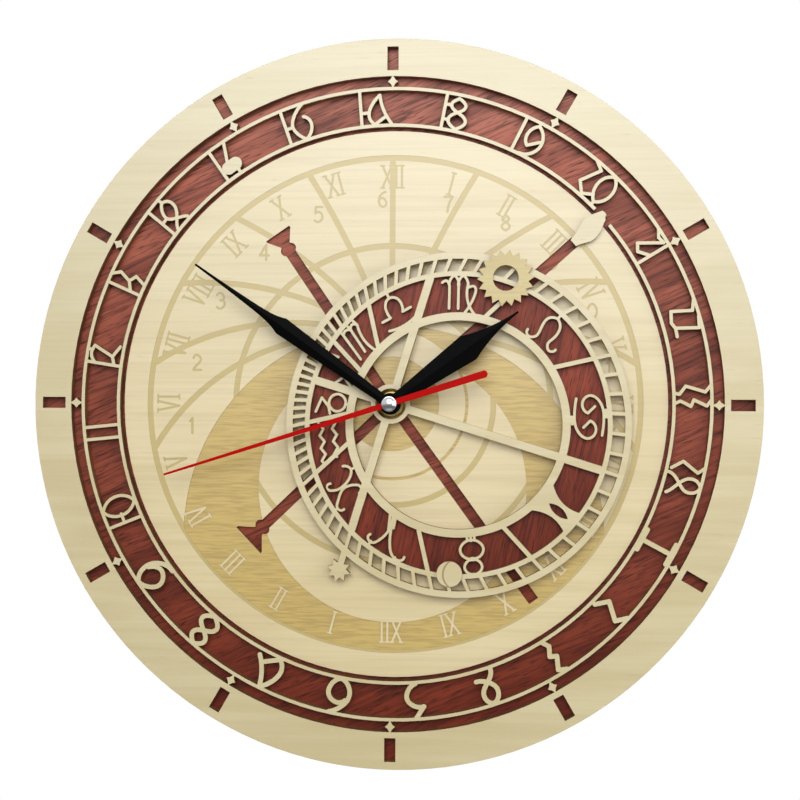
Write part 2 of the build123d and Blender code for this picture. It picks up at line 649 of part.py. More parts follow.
# Zodiac signs in order from the spring equinox; the unit is half the height of their band
LETTER_M = (
    ((-1.0, 0.62), (-0.8, 0.72), (-0.6, 0.45)),
    ((-0.6, 0.45), (-0.6, -0.8)),
    ((-0.6, 0.45), (-0.54, 0.82), (-0.35, 1.0), (-0.16, 0.82), (-0.1, 0.45)),
    ((-0.1, 0.45), (-0.1, -0.8)),
    ((-0.1, 0.45), (-0.04, 0.82), (0.15, 1.0), (0.34, 0.82), (0.4, 0.45)),
)
SIGN_STROKES = (
    (
        ((0.38, -1.05), (-0.05, -0.15), (-0.45, 0.5), (-0.9, 0.84), (-1.3, 0.8), (-1.4, 0.5)),
        ((0.38, -1.05), (0.14, 0), (0.28, 0.5), (0.56, 0.84), (0.84, 0.76), (0.86, 0.5)),
        ((-0.98, 0.8), (-0.98, 1.1)),
        ((0.62, 0.8), (0.62, 1.1)),
        ((0.56, -1.05), (0.18, -0.3)),
        ((0.2, -1.05), (-0.02, -0.5)),
    ),
    (
        ((0, 0.16), (-0.5, 0.02), (-0.64, -0.31), (-0.46, -0.66), (0, -0.82)),
        ((0, 0.16), (0.5, 0.02), (0.64, -0.31), (0.46, -0.66), (0, -0.82)),
        ((0, 0.26), (-0.38, 0.4), (-0.48, 0.68), (-0.34, 0.94), (0, 1.04)),
        ((0, 0.26), (0.38, 0.4), (0.48, 0.68), (0.34, 0.94), (0, 1.04)),
        ((-0.2, -0.8), (-0.2, -1.1)),
        ((0, -0.8), (0, -1.1)),
        ((0.2, -0.8), (0.2, -1.1)),
    ),
    (),
    (
        ((1.06, 0.6), (0, 0.8), (-0.8, 0.64), (-1.16, 0.18), (-0.98, -0.2), (-0.58, -0.3), (-0.22, -0.04)),
        ((-0.22, -0.04), (-0.54, 0.36)),
        ((-1.06, -0.6), (0, -0.8), (0.8, -0.64), (1.16, -0.18), (0.98, 0.2), (0.58, 0.3), (0.22, 0.04)),
        ((0.22, 0.04), (0.54, -0.36)),
        ((-0.3, 0.94), (0.1, 0.94)),
        ((0.3, -0.94), (-0.1, -0.94)),
    ),
    (
        ((-0.94, -0.7), (-0.68, -0.96), (-0.38, -0.74), (-0.42, -0.2), (-0.5, 0.34), (-0.05, 0.78)),
        ((0.94, -0.6), (0.7, -0.86), (0.43, -0.66), (0.45, -0.2), (0.42, 0.34), (-0.05, 0.78)),
        ((-0.05, 0.78), (-0.05, 1.1)),
        ((-0.68, -0.96), (-0.68, -1.1)),
    ),
    LETTER_M
    + (
        ((0.4, 0.45), (0.42, -0.4), (0.8, -1.1)),
        ((0.4, 0.36), (0.8, 0.4), (0.74, -0.2), (0.12, -1.1)),
    ),
    (
        ((-0.8, -0.86), (0, -0.98), (0.8, -0.86)),
        ((-0.9, -0.26), (-0.4, -0.26)),
        ((-0.4, -0.26), (-0.42, 0.2), (-0.26, 0.58), (0.05, 0.74), (0.4, 0.56), (0.5, 0.14), (0.36, -0.26)),
        ((0.36, -0.26), (0.86, -0.26)),
        ((0.05, 0.74), (0.05, 1.1)),
    ),
    (
        ((-0.3, 0.8), (-0.68, -0.78)),
        ((0.2, 0.7), (-0.2, -0.68)),
        ((0.64, 0.6), (0.2, -0.7), (0.24, -1.1)),
        ((-0.3, 0.8), (-0.05, 0.9), (0.2, 0.7)),
        ((0.2, 0.7), (0.46, 0.84), (0.64, 0.6)),
        ((-0.3, 0.8), (-0.26, 1.1)),
        ((0.2, 0.7), (0.24, 1.1)),
        ((0.64, 0.6), (0.66, 1.1)),
    ),
    (
        ((-0.62, -1.1), (0.62, 1.0)),
        ((0.62, 1.0), (0.02, 0.78)),
        ((0.62, 1.0), (0.68, 0.36)),
        ((-0.66, -0.1), (0.12, -0.56)),
    ),
    (
        ((-0.7, 0.66), (0.12, 0.46)),
        ((0.12, 0.46), (-0.24, 0.06)),
        ((-0.66, -0.14), (-0.22, 0.04)),
        ((0, 0.02), (-0.34, -0.12), (-0.48, -0.44), (-0.34, -0.76), (0, -0.9)),
        ((0, 0.02), (0.34, -0.12), (0.48, -0.44), (0.34, -0.76), (0, -0.9)),
        ((-0.24, 0.06), (0, 0.02)),
        ((0, -0.9), (0, -1.1)),
    ),
    (
        ((-1.5, 0.32), (-1.3, 0.46)),
        ((-1.3, 0.46), (-0.95, 0.22)),
        ((-0.95, 0.22), (-0.6, 0.46)),
        ((-0.6, 0.46), (-0.25, 0.22)),
        ((-0.25, 0.22), (0.1, 0.46)),
        ((0.1, 0.46), (0.45, 0.22)),
        ((0.45, 0.22), (0.78, 0.46)),
        ((-1.15, -0.39), (-0.98, -0.26)),
        ((-0.98, -0.26), (-0.63, -0.5)),
        ((-0.63, -0.5), (-0.28, -0.26)),
        ((-0.28, -0.26), (0.07, -0.5)),
        ((0.07, -0.5), (0.42, -0.26)),
        ((0.42, -0.26), (0.77, -0.5)),
        ((0.77, -0.5), (1.05, -0.3)),
    ),
    (
        (
            (-1.1, 0.5),
            (-0.92, 0.82),
            (-0.5, 0.56),
            (-0.08, 0.06),
            (-0.1, -0.5),
            (-0.4, -0.9),
            (-0.66, -0.66),
        ),
        ((0.5, 0.56), (0.32, 0.86), (0.08, 0.56), (0.06, 0), (0.28, -0.5), (0.7, -0.82), (1.06, -0.5)),
        ((-0.08, 0.02), (0.06, 0.02)),
        ((-0.92, 0.82), (-0.92, 1.1)),
        ((0.7, -0.82), (0.7, -1.1)),
    ),
)
SIGN_SHIFTS = (-0.2, -0.16, 0, 0.25, 0.5, 0, 0, 0, 0, 0, 0, -0.3)
TWINS = 2
TWIN_LEFT = ((-0.7, 1.06), (-0.48, 0.1), (-0.9, -1.06))
TWIN_RIGHT = ((0.9, -1.06), (0.48, 0.1), (0.7, 1.06))
TWIN_LENS = ((0, 0.72), (0.23, 0.06), (0, -0.6))


def twins_face(scale: float) -> Face:
    """The sign of the twins: two flared pillars with a lens between them."""
    outlines = (TWIN_LEFT, TWIN_RIGHT, TWIN_LENS)
    left, right, lens = ([(scale * x, scale * y) for x, y in line] for line in outlines)
    with BuildSketch() as twins:
        with BuildLine():
            Spline(*left)
            Line(left[-1], right[0])
            Spline(*right)
            Line(right[-1], left[0])
        make_face()
        with BuildLine():
            ThreePointArc(*lens)
            ThreePointArc(lens[-1], (-lens[1][0], lens[1][1]), lens[0])
        make_face(mode=Mode.SUBTRACT)
    return twins.sketch.face()


def hour_numerals() -> list[Face]:
    """The numerals 1 to 24 round the ring, tops outwards; the single figures are bolder."""
    half = NUMERAL_BAND / 2 + RAIL_W / 4
    middle = (band_in + band_out) / 2
    faces = []
    for hour, angle in enumerate(NUMERAL_ANGLES, start=1):
        place = clock_place(middle, angle)
        pen = BOLD_PEN if len(str(hour)) == 1 else NUMERAL_PEN
        faces += draw(HOUR_FIGURES[hour - 1], pen, half, place)
        if hour == BOWL_HOUR:
            faces += draw(FILLED_BOWL, BOWL_PEN, half, place)
    return faces


def roman_numeral(letters: str, place: Location) -> list[Face]:
    """A Roman numeral whose letters carry short serifs."""
    half = ROMAN_H / 2
    cursor = -sum(ROMAN_LETTERS[letter][-1] for letter in letters) / 2
    faces = []
    for letter in letters:
        strokes, serifs, advance = ROMAN_LETTERS[letter]
        seat = place * Location(((cursor + advance / 2) * half, 0, 0))
        faces += draw(strokes, ROMAN_PEN, half, seat)
        faces += draw(serifs, SERIF_PEN, half, seat)
        cursor += advance
    return faces


# Astrolabe geometry: circles of the sky projected from the pole
horizon_drop = EQUATOR_R / tan(radians(LATITUDE))
winter_r = EQUATOR_R**2 / TROPIC_R


def in_twilight(point: tuple[float, float]) -> bool:
    """Whether a point of the dial lies between the horizon and the circle of night."""
    below = sqrt(point[0] ** 2 + (point[1] + horizon_drop) ** 2) < HORIZON_R
    night = sqrt(point[0] ** 2 + (point[1] + NIGHT_DROP) ** 2) < NIGHT_R
    return below and not night


def day_arc(declination: float) -> float:
    """Half the arc of daylight at a declination, as an angle."""
    return degrees(acos(-tan(radians(LATITUDE)) * tan(radians(declination))))


def planetary_hour(index: int) -> Edge:
    """The line of one of the twelve daylight hours, through its three circles."""
    circles = ((TROPIC_R, OBLIQUITY), (EQUATOR_R, 0), (winter_r, -OBLIQUITY))
    share = index / (HOURS / 2) - 1
    points = [clock_point(r, share * day_arc(d)) for r, d in circles]
    noon = index == HOURS // 2
    return Line(points[0], points[-1]).edge() if noon else ThreePointArc(*points).edge()


def zodiac_angle(longitude: float) -> float:
    """The clock angle, seen from the arbor, of a longitude on the zodiac ring."""
    return SOLSTICE_ANGLE + 90 - longitude


zodiac_centre = clock_point(ZODIAC_OFFSET, SOLSTICE_ANGLE)


def zodiac_reach(angle: float, radius: float) -> float:
    """How far from the arbor a ray meets a circle about the zodiac ring's centre."""
    ray = clock_point(1, angle)
    along = ray[0] * zodiac_centre[0] + ray[1] * zodiac_centre[1]
    return along + sqrt(along**2 - ZODIAC_OFFSET**2 + radius**2)


def zodiac_ray(angle: float, inner: float, outer: float, width: float) -> Face:
    """A bar along a ray from the arbor, between two circles of the zodiac ring."""
    start = clock_point(zodiac_reach(angle, inner), angle)
    end = clock_point(zodiac_reach(angle, outer), angle)
    return pen_stroke(Line(start, end).edge(), width)


def zodiac_place(longitude: float, radius: float) -> Location:
    """A place on a circle of the zodiac ring whose own y axis points out of the ring."""
    angle = zodiac_angle(longitude)
    point = Vector(*clock_point(zodiac_reach(angle, radius), angle))
    outwards = point - Vector(*zodiac_centre)
    turn = degrees(acos(outwards.Y / outwards.length)) * (1 if outwards.X > 0 else -1)
    return Location((point.X, point.Y, 0), (0, 0, -turn))


def zodiac_signs() -> list[Face]:
    """The twelve signs in the middle of their shares of the ring."""
    half = SIGN_BAND / 2
    faces = []
    for index, strokes in enumerate(SIGN_STROKES):
        longitude = (index + 0.5) * 360 / SIGNS
        shift = Location((SIGN_SHIFTS[index] * half, 0, 0))
        place = zodiac_place(longitude, (sign_in + sign_out) / 2) * shift
        faces += draw(strokes, SIGN_PEN, half, place)
        if index == TWINS:
            faces.append(place * twins_face(half))
    return faces


def star_outline(points: int, outer: float, inner: float) -> Sketch:
    """A star of straight rays about the origin."""
    step = 180 / points
    corners = [polar(inner if index % 2 else outer, index * step) for index in range(2 * points)]
    with BuildSketch() as star:
        Polygon(*corners, align=None)
    return star.sketch


def arm_outline(reach: float, trumpet: float) -> Sketch:
    """One arm from the arbor outwards along +Y; a trumpet width of 0 gives a plain end."""
    throat = reach - TRUMPET_L
    with BuildSketch() as arm:
        with Locations((0, reach / 2)):
            Rectangle(ARM_W, reach)
        if trumpet:
            with BuildLine():
                Polyline(
                    (-ARM_W / 2, throat),
                    (ARM_W / 2, throat),
                    (trumpet / 2, reach - TRUMPET_LIP),
                    (trumpet / 2, reach),
                    (-trumpet / 2, reach),
                    (-trumpet / 2, reach - TRUMPET_LIP),
                    (-ARM_W / 2, throat),
                )
            make_face()
            with Locations((0, throat - COLLAR_L / 2)):
                Ellipse(COLLAR_W / 2, COLLAR_L / 2)
    return arm.sketch


# Round and toothed work, added to or cut from the part that is being made
def rod(radius: float, start: float, end: float, at: tuple = (0.0, 0.0), mode: Mode = Mode.ADD):
    """A round rod along the depth."""
    with BuildSketch(level(start)) as section:
        with Locations(at):
            Circle(radius)
    extrude(section.sketch, amount=end - start, mode=mode)


def clock_gear(teeth: int, module: float, phase: float, addendum: float) -> Sketch:
    """A toothed outline: radial flanks below the pitch circle and round tips above it."""
    pitch_r = module * teeth / 2
    root_r = pitch_r - DEDENDUM * module
    tip_r = pitch_r + addendum * module
    step = 360 / teeth
    half = TOOTH_SHARE * step / 2
    with BuildSketch() as outline:
        with BuildLine():
            for tooth in range(teeth):
                middle = phase + tooth * step
                Line(polar(root_r, middle - half), polar(pitch_r, middle - half))
                ThreePointArc(
                    polar(pitch_r, middle - half), polar(tip_r, middle), polar(pitch_r, middle + half)
                )
                Line(polar(pitch_r, middle + half), polar(root_r, middle + half))
                ThreePointArc(
                    polar(root_r, middle + half),
                    polar(root_r, middle + step / 2),
                    polar(root_r, middle + step - half),
                )
        make_face()
    return outline.sketch


def gear(outline: Sketch, start: float, end: float, at: tuple = (0.0, 0.0)):
    """A toothed disc between two depths."""
    with BuildSketch(level(start)) as section:
        with Locations(at):
            add(outline)
    extrude(section.sketch, amount=end - start)


def mesh_phase(phase: float, teeth: int, direction: float, mate_teeth: int) -> float:
    """The phase that puts a mate's gaps on a gear's teeth, for a mate in that direction."""
    return direction + 180 - (teeth / mate_teeth) * (phase - direction) - 180 / mate_teeth


def lance_blade(
    back: float, angle: float, length: float, width: float, shoulder: float, neck: float, taper: tuple
):
    """A lance-shaped blade with a ridge along its middle."""
    plane = hand_plane(back, angle)
    point = [(share * width / 2, shoulder + run * (length - shoulder)) for run, share in taper]
    with BuildSketch(plane) as blade:
        with BuildLine():
            Polyline((0, 0), (neck / 2, 0), (width / 2, shoulder))
            Spline((width / 2, shoulder), *point, (HAND_TIP_W / 2, length))
            Line((HAND_TIP_W / 2, length), (0, length))
            mirror(about=Plane.YZ)
        make_face()
    extrude(blade.sketch, amount=HAND_T)
    across = Plane(origin=plane.origin, x_dir=plane.x_dir, z_dir=plane.y_dir)
    with BuildSketch(across) as roof:
        Polygon(
            (-width / 2, 0),
            (width / 2, 0),
            (width / 2, -HAND_EDGE_T),
            (0, -HAND_T),
            (-width / 2, -HAND_EDGE_T),
            align=None,
        )
    extrude(roof.sketch, amount=length, mode=Mode.INTERSECT)


# Wooden face
with BuildPart() as base_board:
    rod(RING_R - BOARD_INSET, board_back, board_front)
    rod(BUSHING_R + LIFT_GAP, board_back, board_front, mode=Mode.SUBTRACT)

numeral_faces = hour_numerals()
with BuildPart() as hour_ring:
    with BuildSketch(level(board_front)):
        add(annulus(rim_in, RING_R))
        add(annulus(track_in - RAIL_W, track_in))
        add(annulus(ring_in, band_in))
        with PolarLocations((rim_in + track_in) / 2, HOURS):
            Polygon(
                (TRACK_W / 2 + DIAMOND_OVERLAP, 0),
                (DIAMOND_WAIST, DIAMOND_WAIST),
                (0, DIAMOND_W / 2),
                (-DIAMOND_WAIST, DIAMOND_WAIST),
                (-TRACK_W / 2 - DIAMOND_OVERLAP, 0),
                (-DIAMOND_WAIST, -DIAMOND_WAIST),
                (0, -DIAMOND_W / 2),
                (DIAMOND_WAIST, -DIAMOND_WAIST),
                align=None,
            )
        with PolarLocations(MARKER_R, HOURS):
            Rectangle(MARKER_L, MARKER_W, mode=Mode.SUBTRACT)
        with Locations(clock_place(ring_in, SUN_ARM_ANGLE)):
            Rectangle(NOTCH_W, 2 * RAIL_W + DIAMOND_OVERLAP, mode=Mode.SUBTRACT)
        add(numeral_faces)
    extrude(amount=RING_T)

roman_places = [
    (letters, clock_place(ROMAN_R, turn + (index + 1) * 180 / HOURS))
    for turn in (0, 180)
    for index, letters in enumerate(ROMAN_HOURS)
]
pale_numerals = []
dark_strokes = []
for letters, place in roman_places:
    faces = roman_numeral(letters, place)
    if in_twilight((place.position.X, place.position.Y)):
        pale_numerals += faces
    else:
        dark_strokes += faces
for index in range(1, HOURS):
    dark_strokes.append(pen_stroke(planetary_hour(index), HOUR_PEN))
figure_half = FIGURE_H / 2
for number, spot in enumerate(FIGURE_PLACES, start=1):
    figures = str(number)
    for index, figure in enumerate(figures):
        shift = (index - (len(figures) - 1) / 2) * FIGURE_H * FIGURE_ADVANCE
        seat = Location((spot[0] + shift, spot[1], 0))
        dark_strokes += draw(PLAIN_FIGURES[figure], FIGURE_PEN, figure_half, seat)
circle_lines = [
    annulus(radius - CIRCLE_PEN / 2, radius + CIRCLE_PEN / 2) for radius in (TROPIC_R, EQUATOR_R)
]
circle_lines.append(annulus(winter_r - HOUR_PEN / 2, winter_r + HOUR_PEN / 2))
rosette = [annulus(*ring) for ring in ROSETTE_RINGS]
arm_slots = [
    clock_place(0, SUN_ARM_ANGLE) * arm_outline(SUN_ARM_REACH, 0),
    clock_place(0, SUN_TAIL_ANGLE) * arm_outline(SUN_ARM_TAIL, SUN_TRUMPET_W),
    clock_place(0, MOON_ARM_ANGLE) * arm_outline(MOON_ARM_REACH, MOON_TRUMPET_W),
    clock_place(0, MOON_TAIL_ANGLE) * arm_outline(MOON_ARM_TAIL, 0),
]
with BuildPart() as dial_disc:
    with BuildSketch(level(board_front)):
        Circle(dial_r)
        Circle(BUSHING_R + LIFT_GAP, mode=Mode.SUBTRACT)
        add(arm_slots, mode=Mode.SUBTRACT)
    extrude(amount=DIAL_T)
    with BuildSketch(level(dial_front)):
        with Locations((0, -horizon_drop)):
            Circle(HORIZON_R)
        with Locations((0, -NIGHT_DROP)):
            Circle(NIGHT_R, mode=Mode.SUBTRACT)
        Circle(ROSETTE_R, mode=Mode.SUBTRACT)
        Circle(TROPIC_R, mode=Mode.INTERSECT)
        add(pale_numerals, mode=Mode.SUBTRACT)
        add(rosette)
    extrude(amount=-ENGRAVE, mode=Mode.SUBTRACT)
    with BuildSketch(level(dial_front)):
        add(circle_lines)
        add(dark_strokes)
    extrude(amount=-LINE_ENGRAVE, mode=Mode.SUBTRACT)

# Zodiac ring and the figures on it
zodiac_seat = Location((*zodiac_centre, 0))
with BuildPart() as zodiac_backing:
    with BuildSketch(level(dial_front)):
        add(zodiac_seat * annulus(sign_in - BACKING_LAP, sign_out + BACKING_LAP))
    extrude(amount=BACKING_T)

fret_faces = [
    zodiac_seat * annulus(ladder_out, ZODIAC_R),
    zodiac_seat * annulus(sign_out, ladder_in),
    zodiac_seat * annulus(zodiac_in, sign_in),
]
fret_faces += zodiac_signs()
for step in range(SIGNS * LADDER_STEPS):
    ray_angle = zodiac_angle(step * 360 / (SIGNS * LADDER_STEPS))
    fret_faces.append(zodiac_ray(ray_angle, ladder_in, ladder_out, LADDER_BAR))
for step in range(SIGNS):
    ray_angle = zodiac_angle(step * 360 / SIGNS)
    fret_faces.append(zodiac_ray(ray_angle, sign_in, sign_out, DIVIDER_W))
for step in range(SPOKES):
    ray_angle = SOLSTICE_ANGLE + step * 360 / SPOKES
    spoke_end = clock_point(zodiac_reach(ray_angle, sign_out), ray_angle)
    fret_faces.append(pen_stroke(Line((0, 0), spoke_end).edge(), SPOKE_W))
star_angle = SOLSTICE_ANGLE + 90
star_reach = zodiac_reach(star_angle, ZODIAC_R)
star_place = clock_place(star_reach + STAR_GAP, star_angle)
stem_line = Line(clock_point(star_reach, star_angle), clock_point(star_reach + STAR_GAP, star_angle))
fret_faces.append(pen_stroke(stem_line.edge(), STEM_W))
fret_faces.append(star_place * star_outline(STAR_POINTS, STAR_R, STAR_INNER_R))
with BuildPart() as zodiac_fret:
    with BuildSketch(level(backing_front)):
        Circle(hub_ring_r)
        add(fret_faces)
        Circle(hub_hole_r, mode=Mode.SUBTRACT)
    extrude(amount=FRET_T)

sun_place = zodiac_place(SUN_LONGITUDE, ladder_in)
with BuildPart() as sun_disc:
    with BuildSketch(level(fret_front)):
        with Locations(sun_place):
            add(star_outline(SUN_RAYS, SUN_R, SUN_ROOT_R))
            Circle(SUN_HOLE_R, mode=Mode.SUBTRACT)
    extrude(amount=SUN_T)

moon_place = zodiac_place(MOON_LONGITUDE, sign_out)
crescent = ThreePointArc((0, MOON_R), (MOON_R / 2, 0), (0, -MOON_R)).edge()
crescent_line = pen_stroke(crescent, SERIF_PEN)
with BuildPart() as moon_disc:
    with BuildSketch(level(fret_front)):
        with Locations(moon_place):
            Circle(MOON_R)
    extrude(amount=MOON_T)
    with BuildSketch(level(fret_front + MOON_T)):
        with Locations(moon_place):
            add(crescent_line)
    extrude(amount=-ENGRAVE, mode=Mode.SUBTRACT)

pointer_left, finger_tip, pointer_right = (
    [(x, POINTER_START + y) for x, y in outline] for outline in (POINTER_LEFT, FINGER_TIP, POINTER_RIGHT)
)
with BuildPart() as pointing_hand:
    with BuildSketch(hand_plane(dial_front, SUN_ARM_ANGLE)):
        with BuildLine():
            Spline(*pointer_left)
            Polyline(*finger_tip)
            Spline(*pointer_right)
            Line(pointer_right[-1], pointer_left[0])
        make_face()
    extrude(amount=POINTER_T)

# Hands
with BuildPart() as hour_hand:
    lance_blade(hour_back, HOUR_ANGLE, HOUR_L, HOUR_W, HOUR_SHOULDER, HOUR_NECK_W, HOUR_TAPER)
    rod(HOUR_HUB_R, hour_back, hour_back + HAND_T)
    rod(HOUR_PIPE_R + FIT, hour_back, hour_back + HAND_T, mode=Mode.SUBTRACT)

with BuildPart() as minute_hand:
    lance_blade(
        minute_back, MINUTE_ANGLE, MINUTE_L, MINUTE_W, MINUTE_SHOULDER, MINUTE_NECK_W, MINUTE_TAPER
    )
    rod(MINUTE_HUB_R, minute_back, minute_back + HAND_T)
    rod(MINUTE_PIPE_R + FIT, minute_back, minute_back + HAND_T, mode=Mode.SUBTRACT)

with BuildPart() as second_hand:
    with BuildSketch(hand_plane(second_back, SECOND_ANGLE)):
        tail_straight = SECOND_TAIL - SECOND_TAIL_W / 2
        with BuildLine():
            Polyline(
                (0, SECOND_L),
                (SECOND_TIP_W / 2, SECOND_L),
                (SECOND_NECK_W / 2, 0),
                (SECOND_TAIL_W / 2, -tail_straight),
            )
            TangentArc((SECOND_TAIL_W / 2, -tail_straight), (0, -SECOND_TAIL), tangent=(0, -1))
            mirror(about=Plane.YZ)
        make_face()
    extrude(amount=SECOND_T)
    rod(SECOND_HUB_R, second_back, second_front)
    rod(SECONDS_R + FIT, second_back, second_front, mode=Mode.SUBTRACT)

with BuildPart() as centre_cap:
    with BuildSketch(Plane.XY):
        with BuildLine():
            Polyline(
                (0, -second_front - CAP_H),
                (0, -second_front),
                (CAP_R, -second_front),
                (CAP_R, -second_front - CAP_RIM),
            )
            TangentArc((0, -second_front - CAP_H), (CAP_R, -second_front - CAP_RIM), tangent=(1, 0))
        make_face()
    revolve(axis=Axis.Y)

# Movement housing
third_axis = polar(third_centres, THIRD_DIRECTION)
motion_axis = polar(motion_centres, MOTION_DIRECTION)
knob_axis = polar(knob_centres, KNOB_DIRECTION, motion_axis)
intermediate_axis = polar(intermediate_centres, INTERMEDIATE_DIRECTION)
rotor_axis = polar(rotor_centres, ROTOR_DIRECTION, intermediate_axis)
inner_bottom = case_bottom + CASE_WALL
left_arm_x = -(inner_half - WALL_CLEAR - STATOR_ARM_W / 2)
winding_left = left_arm_x + STATOR_ARM_W / 2 + WALL_CLEAR + FLANGE_T
winding_right = winding_left + WINDING_L
right_arm_x = winding_right + FLANGE_T + WALL_CLEAR + STATOR_ARM_W / 2
coil_z = inner_top - COIL_R - COIL_CLEAR
coil_depth = stator_front + STATOR_T / 2
stator_low = rotor_axis[1] - STATOR_DROP
stator_posts = ((left_arm_x, stator_low), (rotor_axis[0] + STATOR_LUG, rotor_axis[1]))
circuit_x = -inner_half + WALL_CLEAR + CIRCUIT_W / 2
circuit_z = divider_top + LEDGE + CIRCUIT_H / 2
circuit_front = CIRCUIT_DEPTH + CIRCUIT_T
circuit_posts = [
    (circuit_x + side * (CIRCUIT_W / 2 - CIRCUIT_MARGIN), circuit_z - CIRCUIT_H / 2 + CIRCUIT_MARGIN)
    for side in (-1, 1)
]
pinned_axes = (third_axis, intermediate_axis, rotor_axis)
room_z = (inner_top + divider_top) / 2
room_h = inner_top - divider_top

with BuildPart() as movement_case:
    with BuildSketch(level(0)):
        with Locations((0, (CASE_TOP + case_bottom) / 2)):
            RectangleRounded(case_w, CASE_TOP - case_bottom, CASE_CORNER)
    extrude(amount=case_depth)
    with BuildSketch(level(0)):
        with Locations((0, room_z)):
            Rectangle(2 * inner_half, room_h)
        with Locations((0, (divider_bottom + inner_bottom) / 2)):
            Rectangle(2 * inner_half, divider_bottom - inner_bottom)
    extrude(amount=inner_front, mode=Mode.SUBTRACT)
    with BuildSketch(level(0)):
        with Locations((0, (divider_top + divider_bottom) / 2)):
            Rectangle(2 * inner_half, DIVIDER_WALL)
    extrude(amount=CASE_WALL, mode=Mode.SUBTRACT)
    with BuildSketch(level(CASE_WALL)):
        with Locations((0, room_z)):
            Rectangle(2 * inner_half, room_h)
            Rectangle(2 * (inner_half - LEDGE), room_h - 2 * LEDGE, mode=Mode.SUBTRACT)
    extrude(amount=LEDGE)
    rod(BUSHING_R + FIT, inner_front, case_depth, mode=Mode.SUBTRACT)
    for axis in pinned_axes:
        rod(PIN_R + RUN, inner_front, pivot_front + PIVOT_END, at=axis, mode=Mode.SUBTRACT)
    rod(POST_R + RUN, inner_front, pivot_front + PIVOT_END, at=knob_axis, mode=Mode.SUBTRACT)
    rod(POST_R, motion_back, inner_front, at=motion_axis)
    for post in stator_posts:
        rod(KNOB_SHAFT_R, stator_front, inner_front, at=post)
    for post in circuit_posts:
        rod(KNOB_SHAFT_R, circuit_front, inner_front, at=post)

with BuildPart() as hanging_tab:
    with BuildSketch(level(0)) as tab:
        with Locations((0, CASE_TOP)):
            Rectangle(TAB_W, TAB_L, align=(Align.CENTER, Align.MIN))
        fillet(tab.vertices().group_by(Axis.Y)[-1], TAB_CORNER)
        with Locations((0, CASE_TOP + HANGER_RISE)):
            Circle(HANGER_R, mode=Mode.SUBTRACT)
    extrude(amount=TAB_T)

with BuildPart() as movement_cover:
    cover_bottom = divider_bottom + COVER_GAP
    cover_top = inner_top - COVER_GAP
    with BuildSketch(level(0)):
        with Locations((0, (cover_top + cover_bottom) / 2)):
            Rectangle(2 * (inner_half - COVER_GAP), cover_top - cover_bottom)
        with Locations(knob_axis):
            Circle(KNOB_R + LIFT_GAP, mode=Mode.SUBTRACT)
    extrude(amount=CASE_WALL)
    for axis in (*pinned_axes, (0, 0)):
        rod(BOSS_R, CASE_WALL, CASE_WALL + BOSS_H, at=axis)
    for axis in pinned_axes:
        rod(PIN_R + RUN, CASE_WALL - PIVOT_DEPTH, CASE_WALL + BOSS_H, at=axis, mode=Mode.SUBTRACT)
    rod(SECONDS_R + RUN, CASE_WALL - PIVOT_DEPTH, CASE_WALL + BOSS_H, mode=Mode.SUBTRACT)

with BuildPart() as threaded_bushing:
    rod(BUSHING_R, inner_front, thread_end)
    rod(COLLAR_R, case_depth, case_depth + COLLAR_T)
    rod(HOUR_PIPE_R + RUN, inner_front, thread_end, mode=Mode.SUBTRACT)

with BuildPart() as rubber_gasket:
    rod(GASKET_R, case_depth, board_back)
    rod(COLLAR_R + LIFT_GAP, case_depth, board_back, mode=Mode.SUBTRACT)

with BuildPart() as clamp_nut:
    rod(NUT_R, dial_front, dial_front + NUT_T)
    chamfer(clamp_nut.faces().sort_by(Axis.Y)[0].edges(), NUT_CHAMFER)
    rod(BUSHING_R + FIT, dial_front, dial_front + NUT_T, mode=Mode.SUBTRACT)

# Hand-setting wheels
cannon_phase = MOTION_DIRECTION
motion_phase = mesh_phase(cannon_phase, CANNON_TEETH, MOTION_DIRECTION, MOTION_TEETH)
knob_phase = mesh_phase(motion_phase, MOTION_TEETH, KNOB_DIRECTION, KNOB_TEETH)
hour_phase = MOTION_DIRECTION
motion_pinion_phase = mesh_phase(hour_phase, HOUR_TEETH, MOTION_DIRECTION, MOTION_PINION_TEETH)

with BuildPart() as hour_wheel:
    gear(clock_gear(HOUR_TEETH, hour_module, hour_phase, ADDENDUM), hour_wheel_back, hour_wheel_front)
    rod(HOUR_PIPE_R, hour_wheel_back, hour_back + HAND_T)
    rod(MINUTE_PIPE_R + RUN, hour_wheel_back, hour_back + HAND_T, mode=Mode.SUBTRACT)

with BuildPart() as minute_pipe:
    cannon = clock_gear(CANNON_TEETH, MOTION_MODULE, cannon_phase, PINION_ADDENDUM)
    gear(cannon, cannon_back, cannon_front)
    rod(MINUTE_PIPE_R, pipe_back, minute_back + HAND_T)
    rod(SECONDS_R + RUN, pipe_back, minute_back + HAND_T, mode=Mode.SUBTRACT)

with BuildPart() as motion_wheel:
    motion_gear = clock_gear(MOTION_TEETH, MOTION_MODULE, motion_phase, ADDENDUM)
    gear(motion_gear, motion_back, motion_front, motion_axis)
    motion_pinion = clock_gear(MOTION_PINION_TEETH, hour_module, motion_pinion_phase, PINION_ADDENDUM)
    gear(motion_pinion, motion_front, hour_wheel_front, motion_axis)
    rod(POST_R + RUN, motion_back, hour_wheel_front, at=motion_axis, mode=Mode.SUBTRACT)

